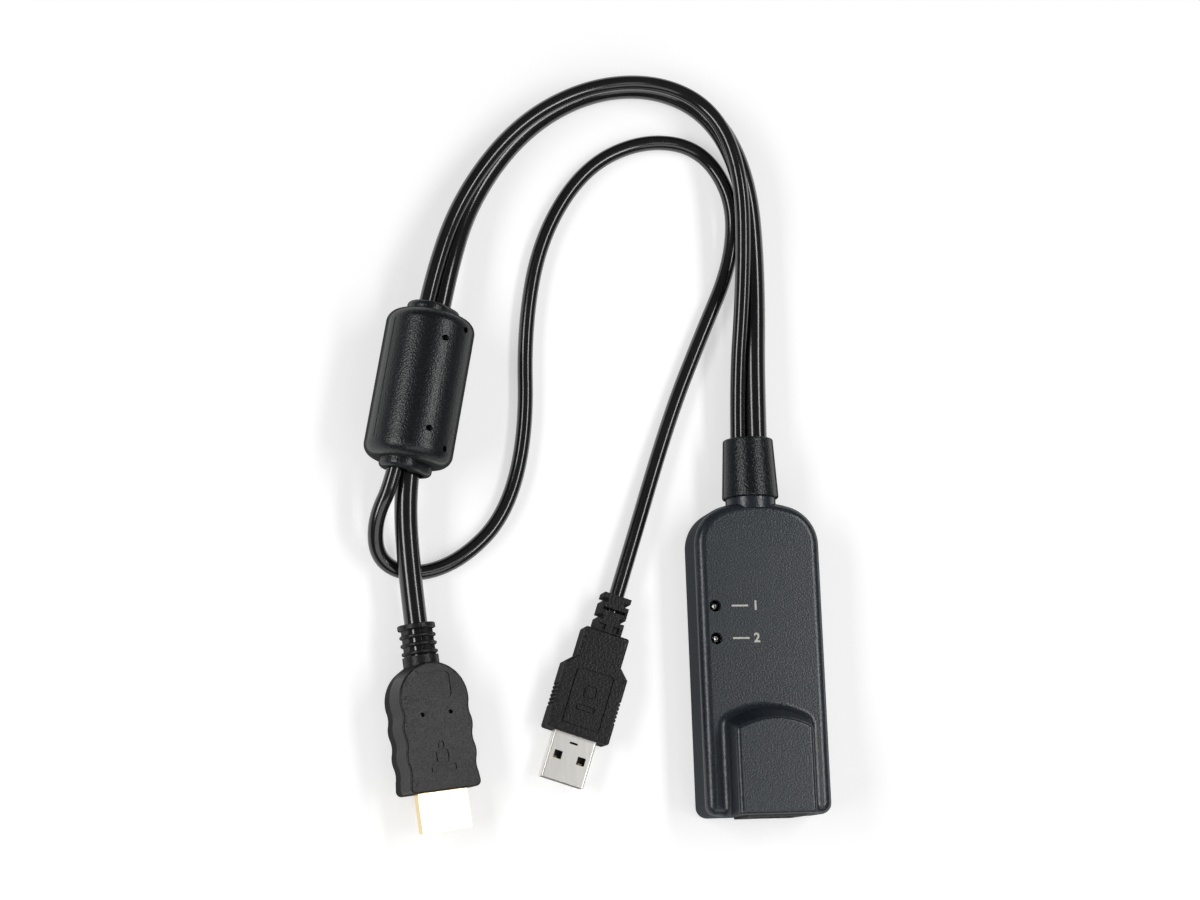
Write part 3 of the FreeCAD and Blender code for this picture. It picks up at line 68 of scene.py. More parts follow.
# %% Camera
camera_place = Vector((-0.19340, -0.07505, 0.67140))
camera_right = Vector((0.97563, -0.03556, 0.21651))
camera_up = Vector((-0.00457, 0.98327, 0.18209))
camera_back = camera_right.cross(camera_up).normalized()
camera_up = camera_back.cross(camera_right).normalized()
camera_right.normalize()
turn = Matrix((camera_right, camera_up, camera_back)).transposed()
lens = bpy.data.cameras.new("camera")
lens.sensor_width = 36.0
lens.lens = 76.65
camera = bpy.data.objects.new("camera", lens)
camera.matrix_world = Matrix.Translation(camera_place) @ turn.to_4x4()
bpy.context.scene.collection.objects.link(camera)
bpy.context.scene.camera = camera
print("camera looks along", [round(v, 3) for v in -camera_back])

# %% [markdown]
# ## The cords
# Each cord is a fixed length of flexible cable, so it is one smooth line with a round section. A chain of
# straight tubes would show its joints. A NURBS spline doesn't: it follows its points loosely and never
# kinks. The thick video cord and the thin data cord leave the boot side by side. The thin one rides on the
# thick one round the big bend, and both pass through the choke. After it the thin one dives under the thick
# one and runs back in a long loop of its own to its plug.

# %% Routes of the two cords, in millimetres
video_route = [
    (2.15, 24.6, 7.8), (2.15, 60.6, 7.8), (4.9, 99.6, 5.7), (3.3, 126.5, 6.9), (-4.9, 145.4, 4.8),
    (-20.8, 153.8, 3.2), (-41.0, 151.6, 3.15), (-60.2, 139.6, 3.2), (-75.5, 118.6, 5.1),
    (-83.4, 95.1, 9.7), (-89.8, 63.8, 10.2), (-95.7, 38.8, 10.1), (-94.5, 14.4, 7.8),
    (-91.8, -8.7, 7.8)]
data_route = [
    (-3.15, 24.6, 7.8), (-3.15, 60.6, 7.8), (0.3, 97.6, 10.8), (0.7, 126.0, 12.1),
    (-5.7, 144.9, 10.3), (-20.9, 153.4, 8.6), (-41.7, 151.4, 8.6), (-61.8, 139.8, 8.7),
    (-78.1, 118.9, 10.1), (-87.4, 95.4, 13.7), (-94.0, 64.4, 14.1), (-98.9, 39.5, 14.2),
    (-103.8, 28.9, 9.6), (-102.3, 18.9, 4.4), (-92.6, 15.1, 2.15), (-79.5, 19.3, 2.15),
    (-67.0, 31.6, 2.15), (-60.7, 53.6, 2.15), (-60.4, 83.6, 2.15), (-55.1, 109.1, 2.15),
    (-42.2, 129.4, 2.15), (-25.0, 138.2, 2.15), (-8.3, 136.4, 2.15), (0.8, 122.1, 2.15),
    (-0.6, 103.1, 2.15), (-10.6, 81.6, 2.15), (-20.6, 58.6, 2.15), (-34.1, 19.65, 3.95),
    (-41.2, -1.0, 3.95)]
video_cord_diameter = 6.2
data_cord_diameter = 4.2
print("points on the routes:", len(video_route), "and", len(data_route))


# %% From millimetres to metres
def metres(*lengths):
    """Turns sizes in millimetres into the metres that the frame is in."""
    return [length / 1000 for length in lengths]


# %% [markdown]
# ## How a curve gets its thickness
# A curve is as thick as its bevel depth times the radius of its points. The depth could carry the cord's
# size while the points stay at 1. But Blender leaves room for the points' radius round the whole curve, and
# the cord's box would then come out metres wide. So the points carry the cord's radius, and the depth is 1.


# %% Lay a cord along its route
def lay_cord(name, route, diameter):
    """Makes one smooth round cord whose line follows the route's points."""
    line = bpy.data.curves.new(name, "CURVE")
    line.dimensions = "3D"
    spline = line.splines.new("NURBS")
    spline.points.add(len(route) - 1)
    for point, place in zip(spline.points, route):
        point.co = (*metres(*place), 1.0)
        point.radius = metres(diameter / 2)[0]
    spline.order_u = 3
    spline.use_endpoint_u = True
    spline.resolution_u = 24
    line.bevel_depth = 1.0
    line.bevel_resolution = 10
    line.use_fill_caps = True
    cord = bpy.data.objects.new(name, line)
    bpy.context.scene.collection.objects.link(cord)
    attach(cord, "root")
    return cord


video_cord = lay_cord("video_cord_line", video_route, video_cord_diameter)
data_cord = lay_cord("data_cord_line", data_route, data_cord_diameter)
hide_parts("video_cord")
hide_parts("data_cord")
print("cords laid:", video_cord.name, data_cord.name)

# %% [markdown]
# ## Surface effects that several materials share
# Moulded plastic takes the fine texture of its spark-eroded mould, and no moulding is perfectly even in
# colour or gloss. Handling adds hair-thin scratches, and a little dust settles anywhere. These could be
# built again inside every material. Each is one node group with named sockets instead, so a change to it
# reaches all materials, and each material still works it at its own scale.


# %% Small helpers for nodes
def socket(node, name, value):
    """Sets the value of one input of a node."""
    node.inputs[name].default_value = value


def add_node(tree, kind, **settings):
    """Adds one shader node and sets the properties that are given."""
    node = tree.nodes.new("ShaderNode" + kind)
    for name, value in settings.items():
        setattr(node, name, value)
    return node


def wire(tree, source, output, target, into):
    """Joins an output of one node to an input of another."""
    tree.links.new(source.outputs[output], target.inputs[into])


def reckon(tree, operation, *values):
    """Adds a Math node; each value is a number, or a node with the name of its output."""
    node = add_node(tree, "Math", operation=operation)
    for into, value in enumerate(values):
        if isinstance(value, tuple):
            wire(tree, *value, node, into)
        else:
            node.inputs[into].default_value = value
    return node


# %% Noise, and a stretch for its values
def noise(tree, scale, detail, roughness=0.5):
    """A noise texture; its scale counts features to the metre."""
    node = add_node(tree, "TexNoise")
    socket(node, "Scale", scale)
    socket(node, "Detail", detail)
    socket(node, "Roughness", roughness)
    return node


def spread(tree, low, high, to_low=0.0, to_high=1.0):
    """Stretches the part of a value between low and high to a new range."""
    node = add_node(tree, "MapRange")
    for name, value in (("From Min", low), ("From Max", high), ("To Min", to_low), ("To Max", to_high)):
        socket(node, name, value)
    return node


# %% An empty group
def start_group(name, inputs, outputs):
    """An empty node group with its sockets, its entry and its exit."""
    group = bpy.data.node_groups.new(name, "ShaderNodeTree")
    for label, kind in inputs:
        group.interface.new_socket(label, in_out="INPUT", socket_type="NodeSocket" + kind)
    for label, kind in outputs:
        group.interface.new_socket(label, in_out="OUTPUT", socket_type="NodeSocket" + kind)
    return group, group.nodes.new("NodeGroupInput"), group.nodes.new("NodeGroupOutput")


# %% Mould texture
def make_mould_texture():
    """Fine pebbled grain, broad cloudy tone and patches rubbed a little smoother."""
    group, entry, leave = start_group(
        "mould_texture", [("Place", "Vector"), ("Grains per metre", "Float")],
        [("Height", "Float"), ("Speckle", "Float"), ("Tone", "Float"), ("Rubbed", "Float")])
    grain = noise(group, scale=2000, detail=1.2)  # the entry sets this scale anew
    cloud = noise(group, scale=45, detail=4.0)
    patch = noise(group, scale=24, detail=6.0, roughness=0.6)
    speckle = spread(group, low=0.34, high=0.66)
    tone = spread(group, low=0.35, high=0.65)
    rubbed = spread(group, low=0.50, high=0.72)
    wire(group, entry, "Grains per metre", grain, "Scale")
    wire(group, grain, "Fac", leave, "Height")
    for texture, stretch, output in ((grain, speckle, "Speckle"), (cloud, tone, "Tone"),
                                     (patch, rubbed, "Rubbed")):
        wire(group, entry, "Place", texture, "Vector")
        wire(group, texture, "Fac", stretch, "Value")
        wire(group, stretch, "Result", leave, output)
    return group


# %% Hair-thin scratches
def make_scratches():
    """Two sets of long thin lines that cross at a slant, as from sliding about on a desk."""
    group, entry, leave = start_group("hair_scratches", [("Place", "Vector")], [("Mask", "Float")])
    slants = (0.5, -0.9)
    drawn_out = (1.0, 0.03, 0.4)
    both_sets = []
    for slant in slants:
        lay = add_node(group, "Mapping")
        socket(lay, "Rotation", (0, 0, slant))
        socket(lay, "Scale", drawn_out)
        lines = noise(group, scale=1300, detail=2.0, roughness=0.7)
        sharp = spread(group, low=0.67, high=0.74)
        wire(group, entry, "Place", lay, "Vector")
        wire(group, lay, "Vector", lines, "Vector")
        wire(group, lines, "Fac", sharp, "Value")
        both_sets.append((sharp, "Result"))
    mask = reckon(group, "MAXIMUM", *both_sets)
    wire(group, mask, "Value", leave, "Mask")
    return group


# %% Settled dust
def make_dust():
    """A few pale specks, thicker in some places than in others."""
    group, entry, leave = start_group("settled_dust", [("Place", "Vector")], [("Mask", "Float")])
    specks = noise(group, scale=2400, detail=1.0)
    sharp = spread(group, low=0.74, high=0.80)
    drift = noise(group, scale=30, detail=2.0)
    where = spread(group, low=0.45, high=0.70)
    for texture, stretch in ((specks, sharp), (drift, where)):
        wire(group, entry, "Place", texture, "Vector")
        wire(group, texture, "Fac", stretch, "Value")
    mask = reckon(group, "MULTIPLY", (sharp, "Result"), (where, "Result"))
    wire(group, mask, "Value", leave, "Mask")
    return group


mould_texture = make_mould_texture()
hair_scratches = make_scratches()
settled_dust = make_dust()
print("shared groups:", [group.name for group in (mould_texture, hair_scratches, settled_dust)])


# %% Start a material
def start_material(name):
    """A new material, its tree, its shader and its coordinates."""
    paint = bpy.data.materials.new(name)
    paint.use_nodes = True
    tree = paint.node_tree
    return paint, tree, tree.nodes["Principled BSDF"], add_node(tree, "TexCoord")


def place_group(tree, group, place):
    """Places a shared group and gives it the object's own coordinates to work on."""
    node = add_node(tree, "Group", node_tree=group)
    wire(tree, place, "Object", node, "Place")
    return node


def place_texture(tree, place, grains_per_metre):
    """Places the mould texture at one size of grain."""
    texture = place_group(tree, mould_texture, place)
    socket(texture, "Grains per metre", grains_per_metre)
    return texture


# %% Mix two colours
# A Mix node has a set of sockets for each kind of value, so those of its colours are known by number.
mix_factor = 0
mix_first = 6
mix_second = 7
mix_result = 2


def blend(tree, first, second, mask, output):
    """Mixes a second colour into a first; the first may be an earlier blend."""
    node = add_node(tree, "Mix", data_type="RGBA")
    if isinstance(first, tuple):
        node.inputs[mix_first].default_value = (*first, 1)
    else:
        wire(tree, first, mix_result, node, mix_first)
    node.inputs[mix_second].default_value = (*second, 1)
    wire(tree, mask, output, node, mix_factor)
    return node


# %% Gloss and relief
def gloss_between(tree, source, output, ends):
    """Turns a value from 0 to 1 into a roughness between two ends."""
    rough = spread(tree, 0.0, 1.0, *ends)
    wire(tree, source, output, rough, "Value")
    return rough


def add_bump(tree, shader, source, output, depth, strength=1.0):
    """Turns a height into a bend of the surface; depth is in millimetres."""
    bump = add_node(tree, "Bump")
    socket(bump, "Strength", strength)
    socket(bump, "Distance", depth / 1000)
    wire(tree, source, output, bump, "Height")
    wire(tree, bump, "Normal", shader, "Normal")


# %% [markdown]
# ## Moulded plastics and rubber
# Most of this object is dark moulding: a slate-grey housing, a rubber boot, a black choke and black plugs,
# each with its own grain. They could be nine separate materials, but they are one kind of finish, so one
# function makes them all. Colour wavers between a dark and a pale tone, gloss rises where hands rub, and
# the grain is a real height that bends the light. The peaks of the grain are also coloured paler: a
# painted highlight of the glints they would catch.
# Seen at a slant, the peaks hide each other's bright sides, and real grained plastic turns matte. A bump
# doesn't know this and would light up along every edge, so the roughness rises with the slant.

# %% Numbers that all mouldings share
# Painted highlight: how much paler the peaks of the grain are coloured, and over how much of each peak.
peak_highlight_gain = 2.2
peak_highlight_cover = 0.8
plastic_dust = (0.12, 0.12, 0.11)
scratch_polish = -0.03
slant_range = (0.55, 0.75)
slant_roughness = 0.95


# %% One finish for every moulded piece
def colour_moulding(tree, shader, texture, dust, dark, pale):
    """Cloudy tone, paler on the peaks of the grain as a painted highlight, with a little dust over it."""
    base = blend(tree, dark, pale, texture, "Tone")
    # Painted highlight: the peaks of the grain get a paler colour, as if they caught the light.
    peaks = spread(tree, 0.0, 1.0, 0.0, peak_highlight_cover)
    wire(tree, texture, "Speckle", peaks, "Value")
    peak_highlighted = blend(tree, base, [v * peak_highlight_gain for v in pale], peaks, "Result")
    dusty = blend(tree, peak_highlighted, plastic_dust, dust, "Mask")
    wire(tree, dusty, mix_result, shader, "Base Color")


def gloss_moulding(tree, shader, texture, scratches, gloss):
    """Rubbed patches and scratches shine a little more, and a slanting look sees hardly any shine."""
    rough = gloss_between(tree, texture, "Rubbed", gloss)
    scored = reckon(tree, "MULTIPLY_ADD", (scratches, "Mask"), scratch_polish, (rough, "Result"))
    slant = add_node(tree, "LayerWeight")
    matte = spread(tree, *slant_range, 0.0, slant_roughness)
    wire(tree, slant, "Facing", matte, "Value")
    rougher = reckon(tree, "MAXIMUM", (matte, "Result"), (scored, "Value"))
    wire(tree, rougher, "Value", shader, "Roughness")


def moulded(name, dark, pale, gloss, grain, depth, specular=0.5):
    """Grained plastic: gloss is its roughness new and rubbed, grain and depth are in millimetres."""
    paint, tree, shader, place = start_material(name)
    texture = place_texture(tree, place, 1000 / grain)
    colour_moulding(tree, shader, texture, place_group(tree, settled_dust, place), dark, pale)
    gloss_moulding(tree, shader, texture, place_group(tree, hair_scratches, place), gloss)
    socket(shader, "Specular IOR Level", specular)
    add_bump(tree, shader, texture, "Height", depth)
    return paint


# %% The mouldings seen from outside
black_tones = {"dark": (0.002, 0.003, 0.004), "pale": (0.003, 0.004, 0.005)}
finishes = {
    "housing_plastic": moulded("slate_housing", (0.006, 0.009, 0.013), (0.010, 0.014, 0.019),
                               gloss=(0.32, 0.27), grain=0.50, depth=0.048, specular=0.60),
    "boot_rubber": moulded("boot_rubber", **black_tones,
                           gloss=(0.30, 0.25), grain=0.42, depth=0.130, specular=0.45),
    "choke_plastic": moulded("choke_plastic", **black_tones,
                             gloss=(0.32, 0.27), grain=0.50, depth=0.100, specular=0.50),
    "plug_plastic": moulded("plug_plastic", (0.003, 0.003, 0.003), (0.008, 0.008, 0.008),
                            gloss=(0.38, 0.31), grain=0.55, depth=0.105, specular=0.31),
}
print("outer mouldings:", sorted(finishes))

# %% The mouldings inside
inner_mouldings = {
    "jack_plastic": moulded("jack_plastic", (0.010, 0.010, 0.011), (0.016, 0.016, 0.017),
                            gloss=(0.42, 0.34), grain=0.30, depth=0.012),
    "insulator_plastic": moulded("insulator_plastic", (0.012, 0.012, 0.013), (0.020, 0.020, 0.021),
                                 gloss=(0.40, 0.32), grain=0.25, depth=0.010),
    "chip_plastic": moulded("chip_epoxy", (0.014, 0.014, 0.015), (0.022, 0.022, 0.023),
                            gloss=(0.62, 0.55), grain=0.20, depth=0.014),
    "header_plastic": moulded("header_nylon", (0.62, 0.60, 0.54), (0.70, 0.68, 0.62),
                              gloss=(0.48, 0.40), grain=0.40, depth=0.008),
    "ferrite_ceramic": moulded("ferrite_ceramic", (0.030, 0.030, 0.032), (0.055, 0.055, 0.058),
                               gloss=(0.70, 0.58), grain=0.35, depth=0.040),
}
finishes.update(inner_mouldings)
print("inner mouldings:", sorted(inner_mouldings))

# %% [markdown]
# ## Cord jacket
# The cords have a smooth extruded jacket of soft PVC. It is glossier than the mouldings, so each lamp draws
# a long thin highlight along it. One plain low roughness would make those lines as straight as on glass.
# The real jacket is never quite round, so a faint waviness breaks them, and a thin clear coat over a
# rougher body gives the deep wet look of new cable.


# %% Cord jacket
def make_cord_jacket():
    """Glossy black cable jacket with scuffs, dust and a slight waviness."""
    scuff_dulling = 0.2
    paint, tree, shader, place = start_material("cord_jacket")
    texture = place_texture(tree, place, 700.0)
    scratches = place_group(tree, hair_scratches, place)
    dust = place_group(tree, settled_dust, place)
    base = blend(tree, (0.005, 0.005, 0.006), (0.009, 0.009, 0.010), texture, "Tone")
    dusty = blend(tree, base, (0.10, 0.10, 0.10), dust, "Mask")
    wire(tree, dusty, mix_result, shader, "Base Color")
    rough = gloss_between(tree, texture, "Rubbed", (0.16, 0.22))
    scuffed = reckon(tree, "MULTIPLY_ADD", (scratches, "Mask"), scuff_dulling, (rough, "Result"))
    wire(tree, scuffed, "Value", shader, "Roughness")
    socket(shader, "Coat Weight", 0.5)
    socket(shader, "Coat Roughness", 0.12)
    add_bump(tree, shader, texture, "Height", depth=0.02, strength=0.6)
    return paint


finishes["cord_jacket"] = make_cord_jacket()
print("cord finish:", finishes["cord_jacket"].name)

# %% [markdown]
# ## Plated metal
# The video plug's shell is flash-plated in gold, the data plug's in nickel over drawn steel strip. Drawing
# and folding leave fine lines along the strip, and handling leaves smudges that dull the shine. A bare
# metal shader would look like a mirror, so a noise that is drawn out along the strip gives the lines to
# both colour and relief, and the rubbed patches of the mould texture serve as smudges.


# %% Plated metal
def plated(name, deep, bright, gloss, lines, depth):
    """Polished or brushed plating; lines is how many drawing lines lie in a metre across the strip."""
    strip_turn = -0.28
    drawn_out = (1.0, 0.06, 1.0)
    paint, tree, shader, place = start_material(name)
    lay = add_node(tree, "Mapping")
    socket(lay, "Rotation", (0, 0, strip_turn))
    socket(lay, "Scale", drawn_out)
    wire(tree, place, "Object", lay, "Vector")
    strip = noise(tree, scale=lines, detail=3.0, roughness=0.65)
    wire(tree, lay, "Vector", strip, "Vector")
    tint = blend(tree, deep, bright, strip, "Fac")
    wire(tree, tint, mix_result, shader, "Base Color")
    smudges = place_texture(tree, place, 3000.0)
    rough = gloss_between(tree, smudges, "Rubbed", gloss)
    wire(tree, rough, "Result", shader, "Roughness")
    socket(shader, "Metallic", 1.0)
    add_bump(tree, shader, strip, "Fac", depth)
    return paint


platings = {
    "gold_plate": plated("gold_plate", (0.86, 0.66, 0.34), (0.96, 0.80, 0.50),
                         gloss=(0.22, 0.34), lines=900, depth=0.004),
    "nickel_plate": plated("nickel_plate", (0.76, 0.74, 0.70), (0.93, 0.91, 0.87),
                           gloss=(0.36, 0.48), lines=1600, depth=0.008),
    "contact_plate": plated("contact_plate", (0.83, 0.58, 0.24), (0.93, 0.72, 0.36),
                            gloss=(0.20, 0.30), lines=3000, depth=0.003),
    "screw_steel": plated("screw_steel", (0.42, 0.42, 0.43), (0.60, 0.60, 0.62),
                          gloss=(0.30, 0.42), lines=2500, depth=0.006),
}
finishes.update(platings)
print("metals:", sorted(platings))

# %% [markdown]
# ## Clear lenses and the circuit board
# Each status light is a clear epoxy lens over a small metal cup, with hardly any colour when it is off. It
# could be a bright dot, but only a lens that light passes through shows the cup behind it. The circuit
# board is green solder resist over a copper pattern. Real tracks would take thousands of faces that nobody
# sees inside the housing, so a brick texture draws them as paler lines.


# %% Clear lens
def make_light_lens():
    """Clear epoxy, very slightly cloudy."""
    paint, tree, shader, place = start_material("clear_lens")
    cloud = noise(tree, scale=400, detail=2.0)
    wire(tree, place, "Object", cloud, "Vector")
    tint = blend(tree, (0.86, 0.88, 0.90), (0.97, 0.98, 1.0), cloud, "Fac")
    wire(tree, tint, mix_result, shader, "Base Color")
    rough = spread(tree, low=0.3, high=0.7, to_low=0.02, to_high=0.10)
    wire(tree, cloud, "Fac", rough, "Value")
    wire(tree, rough, "Result", shader, "Roughness")
    socket(shader, "IOR", 1.5)
    socket(shader, "Transmission Weight", 1.0)
    add_bump(tree, shader, cloud, "Fac", depth=0.01)
    return paint


finishes["light_lens"] = make_light_lens()
print("lens finish:", finishes["light_lens"].name)


# %% Circuit board
def make_board_laminate():
    """Green solder resist with paler tracks that stand up a little."""
    paint, tree, shader, place = start_material("board_laminate")
    tracks = add_node(tree, "TexBrick")
    socket(tracks, "Scale", 260.0)
    socket(tracks, "Mortar Size", 0.05)
    socket(tracks, "Color1", (0.010, 0.060, 0.030, 1))
    socket(tracks, "Color2", (0.014, 0.085, 0.042, 1))
    socket(tracks, "Mortar", (0.040, 0.180, 0.080, 1))
    wire(tree, place, "Object", tracks, "Vector")
    wire(tree, tracks, "Color", shader, "Base Color")
    texture = place_texture(tree, place, 2500.0)
    rough = gloss_between(tree, texture, "Tone", (0.30, 0.42))
    wire(tree, rough, "Result", shader, "Roughness")
    add_bump(tree, shader, tracks, "Fac", depth=0.03)
    return paint


finishes["board_laminate"] = make_board_laminate()
print("board finish:", finishes["board_laminate"].name)

# %% [markdown]
# ## Dress the CAD pieces
# Every hard piece keeps its exact CAD mesh and only gets a finish. Each could be dressed where its finish
# is made, but one table of what wears what is easier to read, and shows at once if a piece is forgotten.

# %% Which piece has which finish
worn_by = {
    "housing_plastic": ["top_shell", "bottom_shell"],
    "boot_rubber": ["cord_boot"],
    "choke_plastic": ["ferrite_cover"],
    "plug_plastic": ["video_plug_body", "data_plug_body", "cord_clamp"],
    "jack_plastic": ["network_jack"],
    "insulator_plastic": ["video_plug_insulator", "data_plug_insulator"],
    "chip_plastic": ["main_chip", "memory_chip", "jack_transformer"],
    "header_plastic": ["video_cord_header", "data_cord_header"],
    "ferrite_ceramic": ["ferrite_core"],
    "cord_jacket": ["video_cord", "data_cord"],
    "gold_plate": ["video_plug_shell"],
    "nickel_plate": ["data_plug_shell"],
    "contact_plate": ["jack_contacts", "video_plug_contacts", "data_plug_contacts"],
    "screw_steel": ["case_screws"],
    "light_lens": ["lower_status_light", "upper_status_light"],
    "board_laminate": ["circuit_board"],
}
for finish, names in worn_by.items():
    for name in names:
        for slot in nodes[name].material_slots:
            slot.material = finishes[finish]
dressed = [name for names in worn_by.values() for name in names]
print("dressed:", len(dressed), "of", len(nodes), "left plain:", sorted(set(nodes) - set(dressed)))
for cord in (video_cord, data_cord):
    cord.data.materials.append(finishes["cord_jacket"])

# %% [markdown]
# ## Printed marks by the lights
# Pale pad-printed marks stand beside the two lights: a short bar and a number for each. They could be
# painted in the housing's material, but a texture that fine goes soft at its edges. Pad print is a skin of
# ink, so each mark is a flat shape with a few hundredths of a millimetre of body, laid on the crown.

# %% Where the lights are, in millimetres
light_x = -12.8
upper_light_y = 5.1
lower_light_y = -3.65
print("lights at", (light_x, upper_light_y), "and", (light_x, lower_light_y))


# %% Print ink
def make_print_ink():
    """Pale matte ink that lets a little of the grain through."""
    paint, tree, shader, place = start_material("print_ink")
    texture = place_texture(tree, place, 2600.0)
    tint = blend(tree, (0.46, 0.44, 0.40), (0.60, 0.58, 0.54), texture, "Speckle")
    wire(tree, tint, mix_result, shader, "Base Color")
    rough = gloss_between(tree, texture, "Tone", (0.50, 0.62))
    wire(tree, rough, "Result", shader, "Roughness")
    add_bump(tree, shader, texture, "Height", depth=0.01)
    return paint


finishes["print_ink"] = make_print_ink()
print("ink finish:", finishes["print_ink"].name)


# %% Helpers for pieces made by hand
def clear_choice():
    """Leaves edit mode and selects nothing, so that the next tool only acts on what it makes."""
    if bpy.context.object and bpy.context.object.mode != "OBJECT":
        bpy.ops.object.mode_set(mode="OBJECT")
    bpy.ops.object.select_all(action="DESELECT")


def settle(piece, finish):
    """Gives a piece its finish and says which body it rides on."""
    piece.data.materials.clear()
    piece.data.materials.append(finishes[finish])
    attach(piece, "root")


# %% Sizes of the print: heights and skins in metres, the rest in millimetres
crown_height = 0.01400
ink_thickness = 0.00004
stroke_swell = 0.00010
edge_round = 0.000015
cap_share = 0.66
bar_left, bar_wide, bar_tall = -8.4, 4.6, 0.5
number_left, number_tall, number_drop = -2.6, 2.3, 1.1


# %% Printed bars and numbers
def print_number(name, words, light_y):
    """Prints a generic number flat on the crown, level with a light."""
    clear_choice()
    bpy.ops.object.text_add()
    mark = bpy.context.object
    mark.name = name
    mark.data.body = words
    mark.data.size = metres(number_tall)[0] / cap_share
    mark.data.extrude = ink_thickness / 2
    mark.data.offset = stroke_swell
    bpy.ops.object.convert(target="MESH")
    mark = bpy.context.object
    mark.location = (*metres(number_left, light_y - number_drop), crown_height)
    bpy.ops.object.transform_apply(location=True, rotation=True, scale=True)
    settle(mark, "print_ink")


def print_bar(name, light_y):
    """Prints a bar with softened corners between a light and its number."""
    clear_choice()
    bpy.ops.mesh.primitive_cube_add(size=1.0)
    bar = bpy.context.object
    bar.name = name
    bar.scale = (*metres(bar_wide, bar_tall), ink_thickness)
    bar.location = (*metres(bar_left + bar_wide / 2, light_y), crown_height)
    bpy.ops.object.transform_apply(location=True, rotation=True, scale=True)
    bpy.ops.object.mode_set(mode="EDIT")
    bpy.ops.mesh.select_all(action="SELECT")
    bpy.ops.mesh.bevel(offset=edge_round, segments=2)
    bpy.ops.object.mode_set(mode="OBJECT")
    settle(bar, "print_ink")


for number, light_y in (("1", upper_light_y), ("2", lower_light_y)):
    print_bar("print_bar_" + number, light_y)
    print_number("print_number_" + number, number, light_y)
print("marks printed at a height of", crown_height * 1000, "mm")

# %% [markdown]
# ## Cups inside the status lights
# Inside each clear lens a bright metal cup holds the chip of the diode. The cup is what glints when the
# light is off. It could be spun from a profile, but it is only 0.8 mm wide, so a short cylinder with its
# top face drawn in and pressed down gives the same dish with a few dozen faces.

# %% Sizes of a cup, in metres
cup_radius = 0.00042
cup_depth = 0.0016
cup_middle_height = 0.0115
cup_rim = 0.00012
cup_dish = 0.0004
dish_taper = 0.5


# %% Diode cups
def make_cup(name, x, y):
    """A small cup: a cylinder whose top is drawn in and pressed down."""
    clear_choice()
    bpy.ops.mesh.primitive_cylinder_add(vertices=32, radius=cup_radius, depth=cup_depth)
    cup = bpy.context.object
    cup.name = name
    cup.location = (*metres(x, y), cup_middle_height)
    bpy.ops.object.transform_apply(location=True, rotation=True, scale=True)
    bpy.ops.object.mode_set(mode="EDIT")
    bpy.ops.mesh.select_all(action="DESELECT")
    mesh = bmesh.from_edit_mesh(cup.data)
    for face in mesh.faces:
        face.select_set(face.normal.z > 0.9)
    bmesh.update_edit_mesh(cup.data)
    bpy.ops.mesh.inset(thickness=cup_rim)
    bpy.ops.mesh.extrude_region_move(TRANSFORM_OT_translate={"value": (0, 0, -cup_dish)})
    bpy.ops.transform.resize(value=(dish_taper, dish_taper, 1.0))
    bpy.ops.object.mode_set(mode="OBJECT")
    settle(cup, "nickel_plate")


for name, light_y in (("upper_cup", upper_light_y), ("lower_cup", lower_light_y)):
    make_cup(name, light_x, light_y)
    print(name, "has", len(bpy.context.object.data.polygons), "faces")

# %% [markdown]
# ## Seam of the choke
# The cover of the choke is moulded round its core in a mould of two halves. Where the halves meet they
# leave a hair of flash along the barrel, one line on each side. A bump could fake it, but a raised line is a
# shape, and catches the light from every side. So it is a thin round bead, nearly sunk in the barrel. It is
# laid along the Y axis, moved out to the barrel's skin, and then turned and carried to the choke's place.

# %% Where the choke lies and how large it is, in metres
choke_middle = Vector((-0.09125, 0.064, 0.01195))
choke_turn = math.radians(-11.4)
barrel_radius = 0.01195
bead_radius = 0.00016
bead_length = 0.0330
bead_sink = 0.00007
bead_end_round = 0.0001
smooth_under = math.radians(40)


# %% Mould seam
def make_seam(name, angle):
    """A thin bead along the barrel, at an angle round it from the top."""
    clear_choice()
    bpy.ops.mesh.primitive_cylinder_add(vertices=12, radius=bead_radius, depth=bead_length)
    bead = bpy.context.object
    bead.name = name
    bpy.ops.object.mode_set(mode="EDIT")
    bpy.ops.mesh.select_all(action="SELECT")
    bpy.ops.mesh.bevel(offset=bead_end_round, segments=2)
    bpy.ops.object.mode_set(mode="OBJECT")
    reach = barrel_radius - bead_sink
    lie_down = Matrix.Rotation(math.radians(90), 4, "X")
    out = Matrix.Translation((reach * math.sin(angle), 0, reach * math.cos(angle)))
    in_place = Matrix.Translation(choke_middle) @ Matrix.Rotation(choke_turn, 4, "Z")
    bead.matrix_world = in_place @ out @ lie_down
    bpy.ops.object.transform_apply(location=True, rotation=True, scale=True)
    bpy.ops.object.shade_smooth_by_angle(angle=smooth_under)
    settle(bead, "choke_plastic")


for name, angle in (("upper_seam", -60), ("lower_seam", 120)):
    make_seam(name, math.radians(angle))
    print(name, "lies", angle, "degrees round the barrel")

# %% [markdown]
# ## The table
# The object is shown on a plain white table. Lamps strong enough to turn a floor white would wash the
# object out. So the floor is an ordinary pale sheet to the lamps, and shines a little of its own only to
# the camera, to mirrors and to clear lenses. There it looks clean white and still keeps the object's shadow.


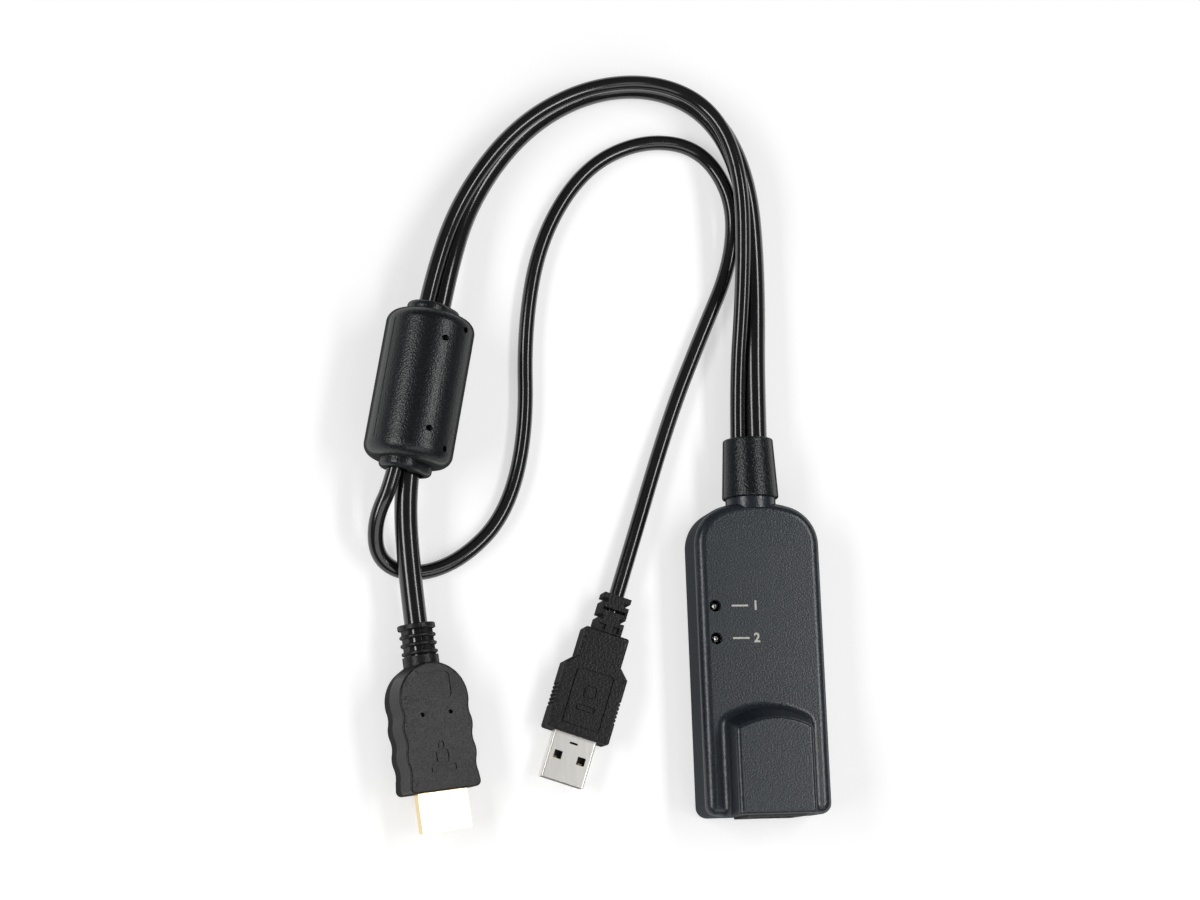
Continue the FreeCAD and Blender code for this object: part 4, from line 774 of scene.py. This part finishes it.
# %% Floor
def build_floor():
    """One large sheet, a hair below the object so that the two never share a plane."""
    clear_choice()
    bpy.ops.mesh.primitive_plane_add(size=6.0, location=(0, 0, -0.0002))
    floor = bpy.context.object
    floor.name = "table_top"
    paint, tree, shader, _ = start_material("white_table")
    socket(shader, "Base Color", (0.60, 0.60, 0.60, 1))
    socket(shader, "Roughness", 0.7)
    ray = add_node(tree, "LightPath")
    direct = reckon(tree, "MAXIMUM", (ray, "Is Camera Ray"), (ray, "Is Glossy Ray"))
    seen = reckon(tree, "MAXIMUM", (direct, "Value"), (ray, "Is Transmission Ray"))
    wire(tree, seen, "Value", shader, "Emission Color")
    socket(shader, "Emission Strength", 0.53)
    floor.data.materials.append(paint)
    return floor


table_top = build_floor()
print("floor laid:", table_top.name)

# %% [markdown]
# ## The light
# Product light is soft and even, yet dark plastic only shows its shape by what it mirrors. One big soft box
# overhead would lay a grey veil on it. Two long strips, one to each side, draw the pale bands along the
# choke, the boot and the cords, and stay clear of their crowns. A low broad box in front fills the
# near walls, a small one stands where only the nickel shell mirrors it, and a faint sky lifts the shadows.
# A lamp that merely points at the object may lie turned about its own axis, so each lamp's three
# directions are worked out, and its height follows the Y axis.


# %% Soft boxes
def soft_lamp(name, place, aim, width, height, power):
    """A rectangular softbox turned towards a point, its height lying along the Y axis."""
    back = (Vector(place) - Vector(aim)).normalized()
    across = Vector((0, 1, 0)).cross(back).normalized()
    along = back.cross(across)
    light = bpy.data.lights.new(name, "AREA")
    light.shape = "RECTANGLE"
    light.size = width
    light.size_y = height
    light.energy = power
    lamp = bpy.data.objects.new(name, light)
    lamp.location = place
    lamp.rotation_euler = Matrix((across, along, back)).transposed().to_euler()
    bpy.context.scene.collection.objects.link(lamp)
    print(name, "shines with", power, "W")


middle = (cad_low + cad_high) / 2
soft_lamp("strip_left", (-0.80, 0.05, 0.68), middle, width=0.24, height=0.85, power=4.8)
soft_lamp("strip_right", (0.50, 0.05, 0.82), middle, width=0.16, height=0.85, power=3.8)
soft_lamp("soft_top", (0.24, -0.20, 1.00), middle, width=0.20, height=0.26, power=0.33)
soft_lamp("soft_front", (0.10, -0.85, 0.85), middle, width=1.20, height=0.60, power=3.2)

# %% Sky and view
sky = bpy.data.worlds.new("studio")
sky.use_nodes = True
backdrop = sky.node_tree.nodes["Background"]
socket(backdrop, "Color", (1.0, 1.0, 1.0, 1))
socket(backdrop, "Strength", 0.10)
bpy.context.scene.world = sky
bpy.context.scene.view_settings.view_transform = "Standard"
print("view transform:", bpy.context.scene.view_settings.view_transform)
